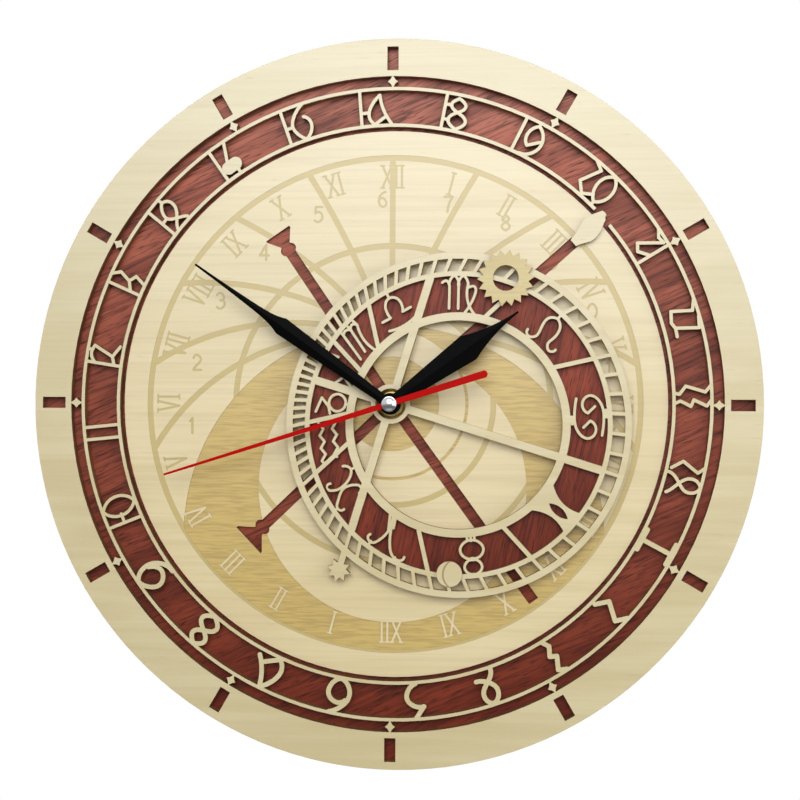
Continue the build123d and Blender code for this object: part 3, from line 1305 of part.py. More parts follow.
with BuildPart() as setting_knob:
    with BuildSketch(level(KNOB_RECESS)):
        with Locations(knob_axis):
            Circle(KNOB_R)
            with PolarLocations(KNOB_R, KNOB_RIBS):
                Circle(KNOB_RIB_R, mode=Mode.SUBTRACT)
    extrude(amount=KNOB_T)
    rod(KNOB_SHAFT_R, KNOB_RECESS, cannon_front, at=knob_axis)
    knob_pinion = clock_gear(KNOB_TEETH, MOTION_MODULE, knob_phase, PINION_ADDENDUM)
    gear(knob_pinion, cannon_back, cannon_front, knob_axis)
    rod(POST_R, cannon_front, pivot_front, at=knob_axis)

# Going train, from the centre wheel back to the rotor
centre_phase = THIRD_DIRECTION
third_pinion_phase = mesh_phase(centre_phase, CENTRE_TEETH, THIRD_DIRECTION, THIRD_PINION_TEETH)
seconds_pinion_phase = THIRD_DIRECTION
third_phase = mesh_phase(seconds_pinion_phase, SECONDS_PINION_TEETH, THIRD_DIRECTION, THIRD_TEETH)
seconds_phase = INTERMEDIATE_DIRECTION
intermediate_pinion_phase = mesh_phase(
    seconds_phase, SECONDS_TEETH, INTERMEDIATE_DIRECTION, INTERMEDIATE_PINION_TEETH
)
intermediate_phase = ROTOR_DIRECTION
rotor_phase = mesh_phase(intermediate_phase, INTERMEDIATE_TEETH, ROTOR_DIRECTION, ROTOR_PINION_TEETH)

with BuildPart() as centre_wheel:
    gear(clock_gear(CENTRE_TEETH, centre_module, centre_phase, ADDENDUM), centre_back, centre_front)
    rod(MINUTE_PIPE_R + RUN, centre_back, centre_front, mode=Mode.SUBTRACT)

with BuildPart() as third_wheel:
    rod(PIN_R, pivot_back, pivot_front, at=third_axis)
    gear(clock_gear(THIRD_TEETH, THIRD_MODULE, third_phase, ADDENDUM), third_back, third_front, third_axis)
    third_pinion = clock_gear(THIRD_PINION_TEETH, centre_module, third_pinion_phase, PINION_ADDENDUM)
    gear(third_pinion, third_front, centre_front + PINION_OVERLAP, third_axis)

with BuildPart() as seconds_wheel:
    rod(SECONDS_R, pivot_back, second_front)
    seconds_gear = clock_gear(SECONDS_TEETH, INTERMEDIATE_MODULE, seconds_phase, ADDENDUM)
    gear(seconds_gear, seconds_back, seconds_front)
    seconds_pinion = clock_gear(SECONDS_PINION_TEETH, THIRD_MODULE, seconds_pinion_phase, PINION_ADDENDUM)
    gear(seconds_pinion, seconds_front, seconds_pinion_front)

with BuildPart() as intermediate_wheel:
    rod(PIN_R, pivot_back, pivot_front, at=intermediate_axis)
    intermediate_gear = clock_gear(INTERMEDIATE_TEETH, ROTOR_MODULE, intermediate_phase, ADDENDUM)
    gear(intermediate_gear, intermediate_back, intermediate_front, intermediate_axis)
    intermediate_pinion = clock_gear(
        INTERMEDIATE_PINION_TEETH, INTERMEDIATE_MODULE, intermediate_pinion_phase, PINION_ADDENDUM
    )
    gear(intermediate_pinion, intermediate_front, seconds_front + PINION_OVERLAP, intermediate_axis)

rotor_pinion_front = intermediate_front + PINION_OVERLAP
with BuildPart() as rotor_pinion:
    rod(PIN_R, pivot_back, pivot_front, at=rotor_axis)
    rod(ROTOR_HUB_R, rotor_pinion_front, magnet_back + MAGNET_T, at=rotor_axis)
    rotor_gear = clock_gear(ROTOR_PINION_TEETH, ROTOR_MODULE, rotor_phase, PINION_ADDENDUM)
    gear(rotor_gear, intermediate_back - PINION_OVERLAP, rotor_pinion_front, rotor_axis)

# Stepping motor
with BuildPart() as rotor_magnet:
    rod(MAGNET_R, magnet_back, magnet_back + MAGNET_T, at=rotor_axis)
    rod(ROTOR_HUB_R + FIT, magnet_back, magnet_back + MAGNET_T, at=rotor_axis, mode=Mode.SUBTRACT)

stator_lines = (
    ((rotor_axis[0], stator_low), (left_arm_x, stator_low)),
    ((left_arm_x, stator_low), (left_arm_x, coil_z)),
    (rotor_axis, (right_arm_x, coil_z)),
    (rotor_axis, (rotor_axis[0] + STATOR_LUG, rotor_axis[1])),
)
stator_arms = [pen_stroke(Line(start, end).edge(), STATOR_ARM_W) for start, end in stator_lines]
with BuildPart() as stator:
    with BuildSketch(level(stator_back)):
        with Locations(rotor_axis):
            Circle(STATOR_HOLE_R + STATOR_WEB)
        add(stator_arms)
        with Locations(rotor_axis):
            Circle(STATOR_HOLE_R, mode=Mode.SUBTRACT)
    extrude(amount=STATOR_T)

with BuildPart() as coil_core:
    core_l = right_arm_x - left_arm_x + CORE_W
    with BuildSketch(level(stator_front)):
        with Locations(((left_arm_x + right_arm_x) / 2, coil_z)):
            Rectangle(core_l, CORE_W)
    extrude(amount=STATOR_T)

bobbin_w = CORE_W + 2 * (FIT + BOBBIN_WALL)
bobbin_t = STATOR_T + 2 * (FIT + BOBBIN_WALL)
with BuildPart() as coil_bobbin:
    with BuildSketch(Plane.YZ.offset(winding_left - FLANGE_T)):
        with Locations((-coil_depth, coil_z)):
            Circle(COIL_R)
    extrude(amount=FLANGE_T)
    with BuildSketch(Plane.YZ.offset(winding_right)):
        with Locations((-coil_depth, coil_z)):
            Circle(COIL_R)
    extrude(amount=FLANGE_T)
    with BuildSketch(Plane.YZ.offset(winding_left)):
        with Locations((-coil_depth, coil_z)):
            Rectangle(bobbin_t, bobbin_w)
    extrude(amount=WINDING_L)
    with BuildSketch(Plane.YZ.offset(winding_left - FLANGE_T)):
        with Locations((-coil_depth, coil_z)):
            Rectangle(STATOR_T + 2 * FIT, CORE_W + 2 * FIT)
    extrude(amount=WINDING_L + 2 * FLANGE_T, mode=Mode.SUBTRACT)

with BuildPart() as coil_winding:
    with BuildSketch(Plane.YZ.offset(winding_left + FIT)):
        with Locations((-coil_depth, coil_z)):
            Circle(COIL_R - LIFT_GAP)
            Rectangle(bobbin_t + 2 * FIT, bobbin_w + 2 * FIT, mode=Mode.SUBTRACT)
    extrude(amount=WINDING_L - 2 * FIT)

# Circuit
with BuildPart() as circuit_board:
    with BuildSketch(level(CIRCUIT_DEPTH)):
        with Locations((circuit_x, circuit_z)):
            Rectangle(CIRCUIT_W, CIRCUIT_H)
    extrude(amount=CIRCUIT_T)

with BuildPart() as quartz_crystal:
    with BuildSketch(Plane.YZ.offset(circuit_x - CRYSTAL_L / 2)):
        with Locations((-CIRCUIT_DEPTH + CRYSTAL_R + FIT, circuit_z - CIRCUIT_H / 4)):
            Circle(CRYSTAL_R)
    extrude(amount=CRYSTAL_L)

with BuildPart() as control_chip:
    with BuildSketch(level(CIRCUIT_DEPTH - CHIP_T)):
        with Locations((circuit_x, circuit_z + CIRCUIT_H / 4)):
            Rectangle(CHIP_SIDE, CHIP_SIDE)
    extrude(amount=CHIP_T)

# Power
battery_depth = BATTERY_RECESS + BATTERY_R
battery_foot = battery_tip - BATTERY_L
with BuildPart() as battery:
    with BuildSketch(Plane.YZ.offset(battery_foot)):
        with Locations((-battery_depth, battery_z)):
            Circle(BATTERY_R)
    extrude(amount=BATTERY_L - NUB_L)
    with BuildSketch(Plane.YZ.offset(battery_tip - NUB_L)):
        with Locations((-battery_depth, battery_z)):
            Circle(NUB_R)
    extrude(amount=NUB_L)

with BuildPart() as contact_positive:
    with BuildSketch(Plane.YZ.offset(inner_half - CONTACT_T)):
        with Locations((-battery_depth, battery_z)):
            Rectangle(CONTACT_W, CONTACT_H)
    extrude(amount=CONTACT_T)

leaf_root = -inner_half + CONTACT_T / 2
leaf_crest = battery_foot - LIFT_GAP - CONTACT_T / 2
leaf_path = ThreePointArc(
    (leaf_root, -battery_depth - CONTACT_W / 2),
    (leaf_crest, -battery_depth),
    (leaf_root, -battery_depth + CONTACT_W / 2),
).edge()
leaf_section = pen_stroke(leaf_path, CONTACT_T)
with BuildPart() as contact_negative:
    with BuildSketch(Plane.XY.offset(battery_z - CONTACT_H / 2)):
        add(leaf_section)
    extrude(amount=CONTACT_H)

# One STEP file for each piece
pieces = {
    "base_board": base_board,
    "hour_ring": hour_ring,
    "dial_disc": dial_disc,
    "zodiac_backing": zodiac_backing,
    "zodiac_fret": zodiac_fret,
    "sun_disc": sun_disc,
    "moon_disc": moon_disc,
    "pointing_hand": pointing_hand,
    "hour_hand": hour_hand,
    "minute_hand": minute_hand,
    "second_hand": second_hand,
    "centre_cap": centre_cap,
    "movement_case": movement_case,
    "hanging_tab": hanging_tab,
    "movement_cover": movement_cover,
    "threaded_bushing": threaded_bushing,
    "rubber_gasket": rubber_gasket,
    "clamp_nut": clamp_nut,
    "hour_wheel": hour_wheel,
    "minute_pipe": minute_pipe,
    "motion_wheel": motion_wheel,
    "setting_knob": setting_knob,
    "centre_wheel": centre_wheel,
    "third_wheel": third_wheel,
    "seconds_wheel": seconds_wheel,
    "intermediate_wheel": intermediate_wheel,
    "rotor_pinion": rotor_pinion,
    "rotor_magnet": rotor_magnet,
    "stator": stator,
    "coil_core": coil_core,
    "coil_bobbin": coil_bobbin,
    "coil_winding": coil_winding,
    "circuit_board": circuit_board,
    "quartz_crystal": quartz_crystal,
    "control_chip": control_chip,
    "battery": battery,
    "contact_positive": contact_positive,
    "contact_negative": contact_negative,
}
os.makedirs("parts", exist_ok=True)
for label, piece in pieces.items():
    piece.part.label = label
    export_step(piece.part, f"parts/{label}.step")
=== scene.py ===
import logging
import math
from abc import ABC, abstractmethod
from dataclasses import dataclass, field, replace
from enum import Enum
from typing import Any

import bpy
import numpy as np
from mathutils import Matrix, Vector


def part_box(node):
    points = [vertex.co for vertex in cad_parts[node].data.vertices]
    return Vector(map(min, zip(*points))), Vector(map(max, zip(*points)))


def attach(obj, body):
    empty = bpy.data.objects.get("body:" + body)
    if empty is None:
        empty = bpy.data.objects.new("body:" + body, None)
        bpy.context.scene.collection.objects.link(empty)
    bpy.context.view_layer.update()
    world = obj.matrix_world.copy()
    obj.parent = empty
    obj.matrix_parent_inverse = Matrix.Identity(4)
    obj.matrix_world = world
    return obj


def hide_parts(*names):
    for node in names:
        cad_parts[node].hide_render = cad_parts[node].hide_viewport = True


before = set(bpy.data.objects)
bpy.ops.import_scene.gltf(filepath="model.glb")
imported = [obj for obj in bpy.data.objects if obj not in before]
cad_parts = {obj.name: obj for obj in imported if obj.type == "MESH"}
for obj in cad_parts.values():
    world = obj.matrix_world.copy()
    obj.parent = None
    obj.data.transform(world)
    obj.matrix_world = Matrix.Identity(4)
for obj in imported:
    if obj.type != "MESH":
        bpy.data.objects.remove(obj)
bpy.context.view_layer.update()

LOG = logging.getLogger("wall_clock")
MM = 0.001


class Body(Enum):
    """The moving groups of the clock that new pieces ride on."""

    SECOND = "second"
    CELL = "cell"


class Pattern(Enum):
    """What decides where a tone lies on a wood."""

    FIGURE = "broad figure"
    STREAKS = "streaks along the grain"
    PORES = "short pores"
    BURN = "burn lines in areas engraved below the burn floor"
    HEIGHT = "height on the clock, in metres"
    DEPTH = "distance from the wall, in metres, negative"
    EDGE = "closeness to a cut edge"
    WALL = "cut walls of the sheet"
    PLIES = "plies in the cut walls"


def linear(hex_colour: str) -> tuple[float, float, float, float]:
    """Turn an sRGB hex value into a linear colour.

    Args:
        hex_colour: Six hex digits, with or without a leading hash.

    Returns:
        Red, green, blue and an alpha of 1, in linear light.
    """
    digits = hex_colour.lstrip("#")
    channels = [int(digits[i : i + 2], 16) / 255 for i in (0, 2, 4)]
    return (
        *(c / 12.92 if c <= 0.04045 else ((c + 0.055) / 1.055) ** 2.4 for c in channels),
        1.0,
    )


def add_node(
    tree: bpy.types.NodeTree,
    kind: str,
    sockets: dict[Any, Any] | None = None,
    **settings: Any,
) -> bpy.types.Node:
    """Add one shader node, set it up and link it.

    Args:
        tree: The node tree that receives the node.
        kind: The node's type name, without the leading "ShaderNode".
        sockets: Input name or index to a value, or to an output socket that is linked to it.
        **settings: Properties of the node itself, such as an operation.

    Returns:
        The new node.
    """
    node = tree.nodes.new("ShaderNode" + kind)
    for name, value in settings.items():
        setattr(node, name, value)
    for name, value in (sockets or {}).items():
        if isinstance(value, bpy.types.NodeSocket):
            tree.links.new(value, node.inputs[name])
        else:
            node.inputs[name].default_value = value
    return node


class Finish(ABC):
    """A surface finish that makes one procedural material."""

    name: str

    @abstractmethod
    def shade(self, tree: bpy.types.NodeTree) -> bpy.types.Node:
        """Add the finish's nodes to a tree and return its shader node."""

    def material(self) -> bpy.types.Material:
        """Make the material.

        Returns:
            A new node material with this finish's name.
        """
        made = bpy.data.materials.new(self.name)
        made.use_nodes = True
        made.node_tree.nodes.clear()
        shader = self.shade(made.node_tree)
        add_node(made.node_tree, "OutputMaterial", {"Surface": shader.outputs[0]})
        return made


@dataclass(frozen=True)
class Layer:
    """A tone that a pattern lays over a wood.

    The tone fades in where the pattern's value runs from low to high, up to the given share.
    """

    pattern: Pattern
    low: float
    high: float
    share: float
    tone: str


@dataclass(frozen=True)
class Veneer(Finish):
    """Laser-cut sheet wood: a sealed face in several tones and toasted cut walls.

    The eye gets soft streaks along the grain, short darker pores, burn lines in deep engraving,
    brown walls with paler plies and a thin scorched line where the face meets them. Sizes are
    along the grain and across it, in metres, and a detail is a number of finer octaves.
    """

    name: str
    face: str
    tones: tuple[Layer, ...]
    wall: str
    ply: str
    scorch: float
    grain_turn: float
    streak_size: tuple[float, float]
    pore_size: tuple[float, float]
    roughness: float
    gloss: float
    burn_floor: float = 0.0
    ply_size: tuple[float, float] = (12 * MM, 0.9 * MM)
    scorch_width: float = 0.35 * MM
    scorch_samples: int = 4
    figure_stretch: tuple[float, float] = (1.5, 7.0)
    figure_detail: float = 2.0
    streak_detail: float = 3.0
    pore_detail: float = 1.0
    ply_detail: float = 2.0
    waver: float = 0.3
    relief: float = 0.05 * MM
    relief_strength: float = 0.12

    def noise(
        self,
        tree: bpy.types.NodeTree,
        size: tuple[float, float, float],
        turn: float,
        detail: float,
    ) -> bpy.types.NodeSocket:
        """A noise whose grains have a given size.

        Args:
            tree: The material's node tree.
            size: Length of one grain along its own X, Y and Z, in metres.
            turn: Turn of the grain about the depth axis, in degrees.
            detail: Octaves of finer noise.

        Returns:
            The socket that holds the noise, about 0.5 on average.
        """
        drawn = add_node(
            tree,
            "Mapping",
            {
                "Vector": add_node(tree, "TexCoord").outputs["Object"],
                "Rotation": (0.0, math.radians(turn), 0.0),
                "Scale": size,
            },
            vector_type="TEXTURE",
        )
        made = add_node(
            tree,
            "TexNoise",
            {
                "Vector": drawn.outputs[0],
                "Scale": 1.0,
                "Detail": detail,
                "Distortion": self.waver,
            },
        )
        return made.outputs["Fac"]

    def patterns(self, tree: bpy.types.NodeTree) -> dict[Pattern, bpy.types.NodeSocket]:
        """Add the nodes of every pattern.

        Args:
            tree: The material's node tree.

        Returns:
            The socket with each pattern's value.
        """
        along, across = self.streak_size
        longer, broader = self.figure_stretch
        figure_volume = (longer * along, along, broader * across)
        pore_along, pore_across = self.pore_size
        pore_volume = (pore_along, pore_along, pore_across)
        ply_along, ply_across = self.ply_size
        ply_volume = (ply_along, ply_across, ply_along)
        place = add_node(tree, "SeparateXYZ", {0: add_node(tree, "TexCoord").outputs["Object"]})
        normal = add_node(tree, "NewGeometry").outputs["True Normal"]
        facing = add_node(tree, "SeparateXYZ", {0: normal})
        flat = add_node(tree, "Math", {0: facing.outputs["Y"]}, operation="ABSOLUTE")
        wall = add_node(tree, "Math", {0: 1.0, 1: flat.outputs[0]}, operation="SUBTRACT")
        layered = self.noise(tree, ply_volume, 0.0, self.ply_detail)
        plies = add_node(tree, "Math", {0: wall.outputs[0], 1: layered}, operation="MULTIPLY")
        rounded = add_node(
            tree, "Bevel", {"Radius": self.scorch_width}, samples=self.scorch_samples
        )
        even = add_node(
            tree, "VectorMath", {0: rounded.outputs[0], 1: normal}, operation="DOT_PRODUCT"
        )
        edge = add_node(tree, "Math", {0: 1.0, 1: even.outputs["Value"]}, operation="SUBTRACT")
        pores = self.noise(tree, pore_volume, self.grain_turn, self.pore_detail)
        deep = add_node(
            tree, "Math", {0: place.outputs["Y"], 1: self.burn_floor}, operation="GREATER_THAN"
        )
        burn = add_node(tree, "Math", {0: deep.outputs[0], 1: pores}, operation="MULTIPLY")
        return {
            Pattern.FIGURE: self.noise(tree, figure_volume, self.grain_turn, self.figure_detail),
            Pattern.STREAKS: self.noise(
                tree, (along, along, across), self.grain_turn, self.streak_detail
            ),
            Pattern.PORES: pores,
            Pattern.BURN: burn.outputs[0],
            Pattern.HEIGHT: place.outputs["Z"],
            Pattern.DEPTH: place.outputs["Y"],
            Pattern.EDGE: edge.outputs[0],
            Pattern.WALL: wall.outputs[0],
            Pattern.PLIES: plies.outputs[0],
        }

    def shade(self, tree: bpy.types.NodeTree) -> bpy.types.Node:
        """Lay the tones over the face colour, then the toasted walls.

        Args:
            tree: The material's node tree.

        Returns:
            The wood's shader node.
        """
        patterns = self.patterns(tree)
        toasted = (
            Layer(Pattern.EDGE, 0.0, 0.3, self.scorch, self.ply),
            Layer(Pattern.WALL, 0.35, 0.45, 1.0, self.wall),
            Layer(Pattern.PLIES, 0.35, 0.65, 1.0, self.ply),
        )
        colour: Any = linear(self.face)
        for layer in self.tones + toasted:
            step = add_node(
                tree,
                "MapRange",
                {
                    "Value": patterns[layer.pattern],
                    "From Min": layer.low,
                    "From Max": layer.high,
                    "To Max": layer.share,
                },
                interpolation_type="SMOOTHSTEP",
            )
            laid = add_node(
                tree,
                "Mix",
                {0: step.outputs["Result"], 6: colour, 7: linear(layer.tone)},
                data_type="RGBA",
            )
            colour = laid.outputs[2]
        bump = add_node(
            tree,
            "Bump",
            {
                "Height": patterns[Pattern.STREAKS],
                "Strength": self.relief_strength,
                "Distance": self.relief,
            },
        )
        return add_node(
            tree,
            "BsdfPrincipled",
            {
                "Base Color": colour,
                "Roughness": self.roughness,
                "Specular IOR Level": self.gloss,
                "Normal": bump.outputs[0],
            },
        )


@dataclass(frozen=True)
class Coated(Finish):
    """A plain coated, moulded or metal surface with a fine texture of its own.

    The eye gets an even colour, slightly mottled, and a highlight that the texture breaks up.
    """

    name: str
    colour: str
    shade_colour: str
    grit: float
    roughness: float
    metallic: float = 0.0
    gloss: float = 0.5
    relief: float = 0.0
    stretch: tuple[float, float, float] = (1.0, 1.0, 1.0)
    detail: float = 3.0
    spread: float = 0.2
    relief_strength: float = 0.4

    def shade(self, tree: bpy.types.NodeTree) -> bpy.types.Node:
        """Mottle the colour and the roughness with one noise.

        Args:
            tree: The material's node tree.

        Returns:
            The coating's shader node.
        """
        sized = add_node(
            tree,
            "Mapping",
            {
                "Vector": add_node(tree, "TexCoord").outputs["Object"],
                "Scale": tuple(self.grit * s for s in self.stretch),
            },
            vector_type="TEXTURE",
        )
        grain = add_node(
            tree, "TexNoise", {"Vector": sized.outputs[0], "Scale": 1.0, "Detail": self.detail}
        )
        mottle = add_node(
            tree,
            "Mix",
            {0: grain.outputs["Fac"], 6: linear(self.colour), 7: linear(self.shade_colour)},
            data_type="RGBA",
        )
        rough = add_node(
            tree,
            "MapRange",
            {
                "Value": grain.outputs["Fac"],
                "To Min": self.roughness * (1 - self.spread),
                "To Max": self.roughness * (1 + self.spread),
            },
        )
        bump = add_node(
            tree,
            "Bump",
            {
                "Height": grain.outputs["Fac"],
                "Strength": self.relief_strength,
                "Distance": self.relief,
            },
        )
        return add_node(
            tree,
            "BsdfPrincipled",
            {
                "Base Color": mottle.outputs[2],
                "Roughness": rough.outputs["Result"],
                "Metallic": self.metallic,
                "Specular IOR Level": self.gloss,
                "Normal": bump.outputs[0],
            },
        )


# Depths, negative towards the front, at which the tones of engraved lines and areas set in
DIAL_LINES = (-23.44 * MM, -23.40 * MM)
DIAL_AREAS = (-23.30 * MM, -23.25 * MM)
DIAL_BURN = -23.27 * MM
MOON_LINES = (-29.62 * MM, -29.55 * MM)

# Basswood plywood, laser cut and sealed: pale cream with faint straight grain and toasted edges;
# its paler, whiter top is painted sheen.
PALE_PLY = Veneer(
    name="basswood_plywood",
    face="#D3C69C",
    tones=(
        Layer(Pattern.FIGURE, 0.35, 0.65, 1.0, "#CABB8D"),
        # Painted sheen: the face turns paler and whiter towards the top of the clock, standing in
        # for the lamp's reflection there.
        Layer(Pattern.HEIGHT, -0.08, 0.17, 0.6, "#D4CBAC"),
        Layer(Pattern.STREAKS, 0.4, 0.75, 0.2, "#B9A673"),
        Layer(Pattern.PORES, 0.64, 1.0, 1.0, "#B9A673"),
    ),
    wall="#5A3A1E",
    ply="#7C5730",
    scorch=0.5,
    grain_turn=0.0,
    streak_size=(55 * MM, 1.2 * MM),
    pore_size=(9 * MM, 0.7 * MM),
    roughness=0.4,
    gloss=1.0,
)
# The same plywood as a dial sheet, a little warmer, with the same painted sheen paler towards the
# top: its shallow lines are pale tan and its deeper areas golden brown with fine burn lines.
DIAL_PLY = replace(
    PALE_PLY,
    name="basswood_dial_sheet",
    face="#E0CFA2",
    tones=(
        Layer(Pattern.FIGURE, 0.35, 0.65, 1.0, "#D8C696"),
        # Painted sheen: paler, whiter tone towards the top of the dial, standing in for the lamp's
        # reflection.
        Layer(Pattern.HEIGHT, -0.08, 0.17, 0.6, "#D7CEAF"),
        Layer(Pattern.PORES, 0.66, 1.0, 1.0, "#C6B37F"),
        Layer(Pattern.DEPTH, *DIAL_LINES, 0.85, "#BBA560"),
        Layer(Pattern.DEPTH, *DIAL_AREAS, 0.9, "#CAAE60"),
        Layer(Pattern.BURN, 0.35, 0.7, 0.5, "#9C7E3C"),
        Layer(Pattern.STREAKS, 0.4, 0.75, 0.12, "#8A6C34"),
    ),
    scorch=0.12,
    streak_size=(60 * MM, 1.4 * MM),
    burn_floor=DIAL_BURN,
)
# The small moon disc of the same plywood, whose crescent line is engraved.
MOON_PLY = replace(
    PALE_PLY,
    name="basswood_moon_sheet",
    tones=(
        Layer(Pattern.FIGURE, 0.35, 0.65, 1.0, "#CABB8D"),
        Layer(Pattern.PORES, 0.66, 1.0, 1.0, "#B9A673"),
        Layer(Pattern.DEPTH, *MOON_LINES, 0.9, "#A98A4E"),
    ),
    scorch=0.4,
    streak_size=(55 * MM, 1.6 * MM),
)
# The sun disc is cut from a yellower sheet of poplar.
SUN_PLY = Veneer(
    name="yellow_poplar_sheet",
    face="#C6B478",
    tones=(
        Layer(Pattern.FIGURE, 0.35, 0.65, 1.0, "#BBA668"),
        Layer(Pattern.STREAKS, 0.4, 0.75, 0.35, "#A68F52"),
        Layer(Pattern.PORES, 0.64, 1.0, 1.0, "#A68F52"),
    ),
    wall="#5E4318",
    ply="#8A6A34",
    scorch=0.5,
    grain_turn=0.0,
    streak_size=(40 * MM, 1.6 * MM),
    pore_size=(9 * MM, 0.7 * MM),
    roughness=0.4,
    gloss=0.9,
)
# Stained mahogany veneer of the board: red brown with a slanting figure; its lighter top is
# painted top light and sheen.
MAHOGANY = Veneer(
    name="mahogany_veneer",
    face="#7A301B",
    tones=(
        # Painted top light: the red turns lighter from the bottom of the board to its top.
        Layer(Pattern.HEIGHT, -0.15, 0.15, 1.0, "#B4644E"),
        # Painted sheen: a lighter, pinker band across the top of the board.
        Layer(Pattern.HEIGHT, 0.095, 0.13, 0.5, "#CC8470"),
        Layer(Pattern.FIGURE, 0.35, 0.7, 0.6, "#561F12"),
        Layer(Pattern.STREAKS, 0.42, 0.72, 0.7, "#47190E"),
        Layer(Pattern.PORES, 0.5, 0.8, 0.85, "#32100A"),
    ),
    wall="#2A120A",
    ply="#55301F",
    scorch=0.3,
    grain_turn=-24.0,
    streak_size=(30 * MM, 1.4 * MM),
    pore_size=(6 * MM, 0.55 * MM),
    roughness=0.4,
    gloss=0.2,
)
# The same veneer under the zodiac, laid with its grain almost upright, with its own painted top
# light.
MAHOGANY_UPRIGHT = replace(
    MAHOGANY,
    name="mahogany_veneer_upright",
    face="#7A301C",
    tones=(
        # Painted top light: the red turns lighter towards the top of the zodiac backing.
        Layer(Pattern.HEIGHT, -0.1, 0.06, 1.0, "#984632"),
        Layer(Pattern.FIGURE, 0.35, 0.7, 0.6, "#561F12"),
        Layer(Pattern.STREAKS, 0.42, 0.72, 0.7, "#47190E"),
        Layer(Pattern.PORES, 0.5, 0.8, 0.85, "#32100A"),
    ),
    grain_turn=-78.0,
)
# Stamped aluminium hands in black enamel: deep black with a soft, faint highlight.
BLACK_ENAMEL = Coated(
    "black_enamel", "#070707", "#040404", 1.5 * MM, 0.45, gloss=0.025, relief=0.004 * MM
)
# The second hand in deep red enamel, smooth and even.
RED_ENAMEL = Coated(
    "red_enamel", "#B80804", "#A80603", 2.0 * MM, 0.4, gloss=0.06, relief=0.004 * MM
)
# Polished chrome plate on the cap: a clear mirror with a faint haze.
CHROME = Coated(
    "polished_chrome", "#C9CBCE", "#B4B6BA", 3.0 * MM, 0.08, metallic=1.0, relief=0.001 * MM
)
# Moulded ABS of the movement: black, with a fine spark-eroded texture.
BLACK_ABS = Coated("black_abs", "#1B1C1E", "#131415", 0.6 * MM, 0.55, relief=0.03 * MM)
# Moulded ABS of the setting knob, in grey with the same fine texture.
GREY_ABS = Coated("grey_abs", "#6E7073", "#626467", 0.6 * MM, 0.5, relief=0.02 * MM)
# Acetal wheels: milky white and slightly waxy.
ACETAL = Coated("white_acetal", "#E9E6DC", "#DEDACE", 0.8 * MM, 0.4, relief=0.008 * MM)
# Turned brass: olive gold, with fine marks from the tool.
BRASS = Coated(
    "turned_brass",
    "#CDBB7A",
    "#B5A262",
    0.5 * MM,
    0.4,
    metallic=1.0,
    relief=0.01 * MM,
    stretch=(4.0, 0.6, 4.0),
)
# Pressed spring steel: cool grey with drawn-out rolling marks.
STEEL = Coated(
    "rolled_steel",
    "#B9BBBD",
    "#A3A5A8",
    0.5 * MM,
    0.32,
    metallic=1.0,
    relief=0.006 * MM,
    stretch=(8.0, 1.0, 1.0),
)
# Enamelled copper wire, wound close: orange brown with lines across the coil every 0.15 mm.
COPPER = Coated(
    "enamelled_copper",
    "#B5673A",
    "#7E3F20",
    0.3 * MM,
    0.35,
    metallic=0.9,
    relief=0.03 * MM,
    stretch=(0.5, 6.0, 6.0),
)
# Sintered ferrite: dull, dark and grainy.
FERRITE = Coated("sintered_ferrite", "#3A3A3C", "#2A2A2C", 0.5 * MM, 0.7, relief=0.02 * MM)
# Glass-fibre circuit board under green solder mask.
SOLDER_MASK = Coated("green_solder_mask", "#1E6B3E", "#175532", 0.8 * MM, 0.4, relief=0.01 * MM)
# Nitrile rubber washer: black and matt.
RUBBER = Coated("nitrile_rubber", "#1A1A1A", "#222222", 0.7 * MM, 0.85, relief=0.02 * MM)
# Plain shrink film on the cell: blue grey, faintly wrinkled.
SHRINK_FILM = Coated("shrink_film", "#4A5A66", "#435360", 6.0 * MM, 0.34, relief=0.02 * MM)
# Nickel-plated steel of the cell's ends and the crystal's can: bright, with a soft haze.
NICKEL = Coated(
    "nickel_plate", "#BDBBB4", "#A9A7A0", 1.0 * MM, 0.24, metallic=1.0, relief=0.004 * MM
)


class MaterialShelf:
    """Keeps one material per finish, so that pieces share it."""

    def __init__(self) -> None:
        """Start with an empty shelf."""
        self._made: dict[str, bpy.types.Material] = {}

    def get(self, finish: Finish) -> bpy.types.Material:
        """The finish's material, made on first use."""
        if finish.name not in self._made:
            self._made[finish.name] = finish.material()
        return self._made[finish.name]


def revolve(
    radii: np.ndarray, depths: np.ndarray, axis: np.ndarray, sides: int, closed: bool
) -> tuple[np.ndarray, np.ndarray]:
    """Turn a profile about an axis through the origin.

    The surface is p(u, v) = a * depth(u) + r(u) * (e1 * cos v + e2 * sin v), where a is the axis
    and e1, e2 are the two directions square to it. The seam shares its vertices.

    Args:
        radii: Distance from the axis at each point of the profile, in metres.
        depths: Distance along the axis at each point, in metres.
        axis: The unit vector of the axis, along X or Y.
        sides: Number of steps round the axis.
        closed: Whether the profile's last point joins its first, which makes a tube with a wall.

    Returns:
        Vertices as an (n, 3) array and quads as an (m, 4) array.
    """
    first = np.array([0.0, 0.0, 1.0])
    second = np.cross(axis, first)
    turn = np.linspace(0, 2 * np.pi, sides, endpoint=False)
    ring = np.cos(turn)[:, None] * first + np.sin(turn)[:, None] * second
    points = depths[:, None, None] * axis + radii[:, None, None] * ring
    u, v = np.meshgrid(np.arange(len(radii) - (not closed)), np.arange(sides), indexing="ij")
    beyond, after = (u + 1) % len(radii), (v + 1) % sides
    quads = np.stack(
        [u * sides + v, u * sides + after, beyond * sides + after, beyond * sides + v], -1
    )
    return points.reshape(-1, 3), quads.reshape(-1, 4)


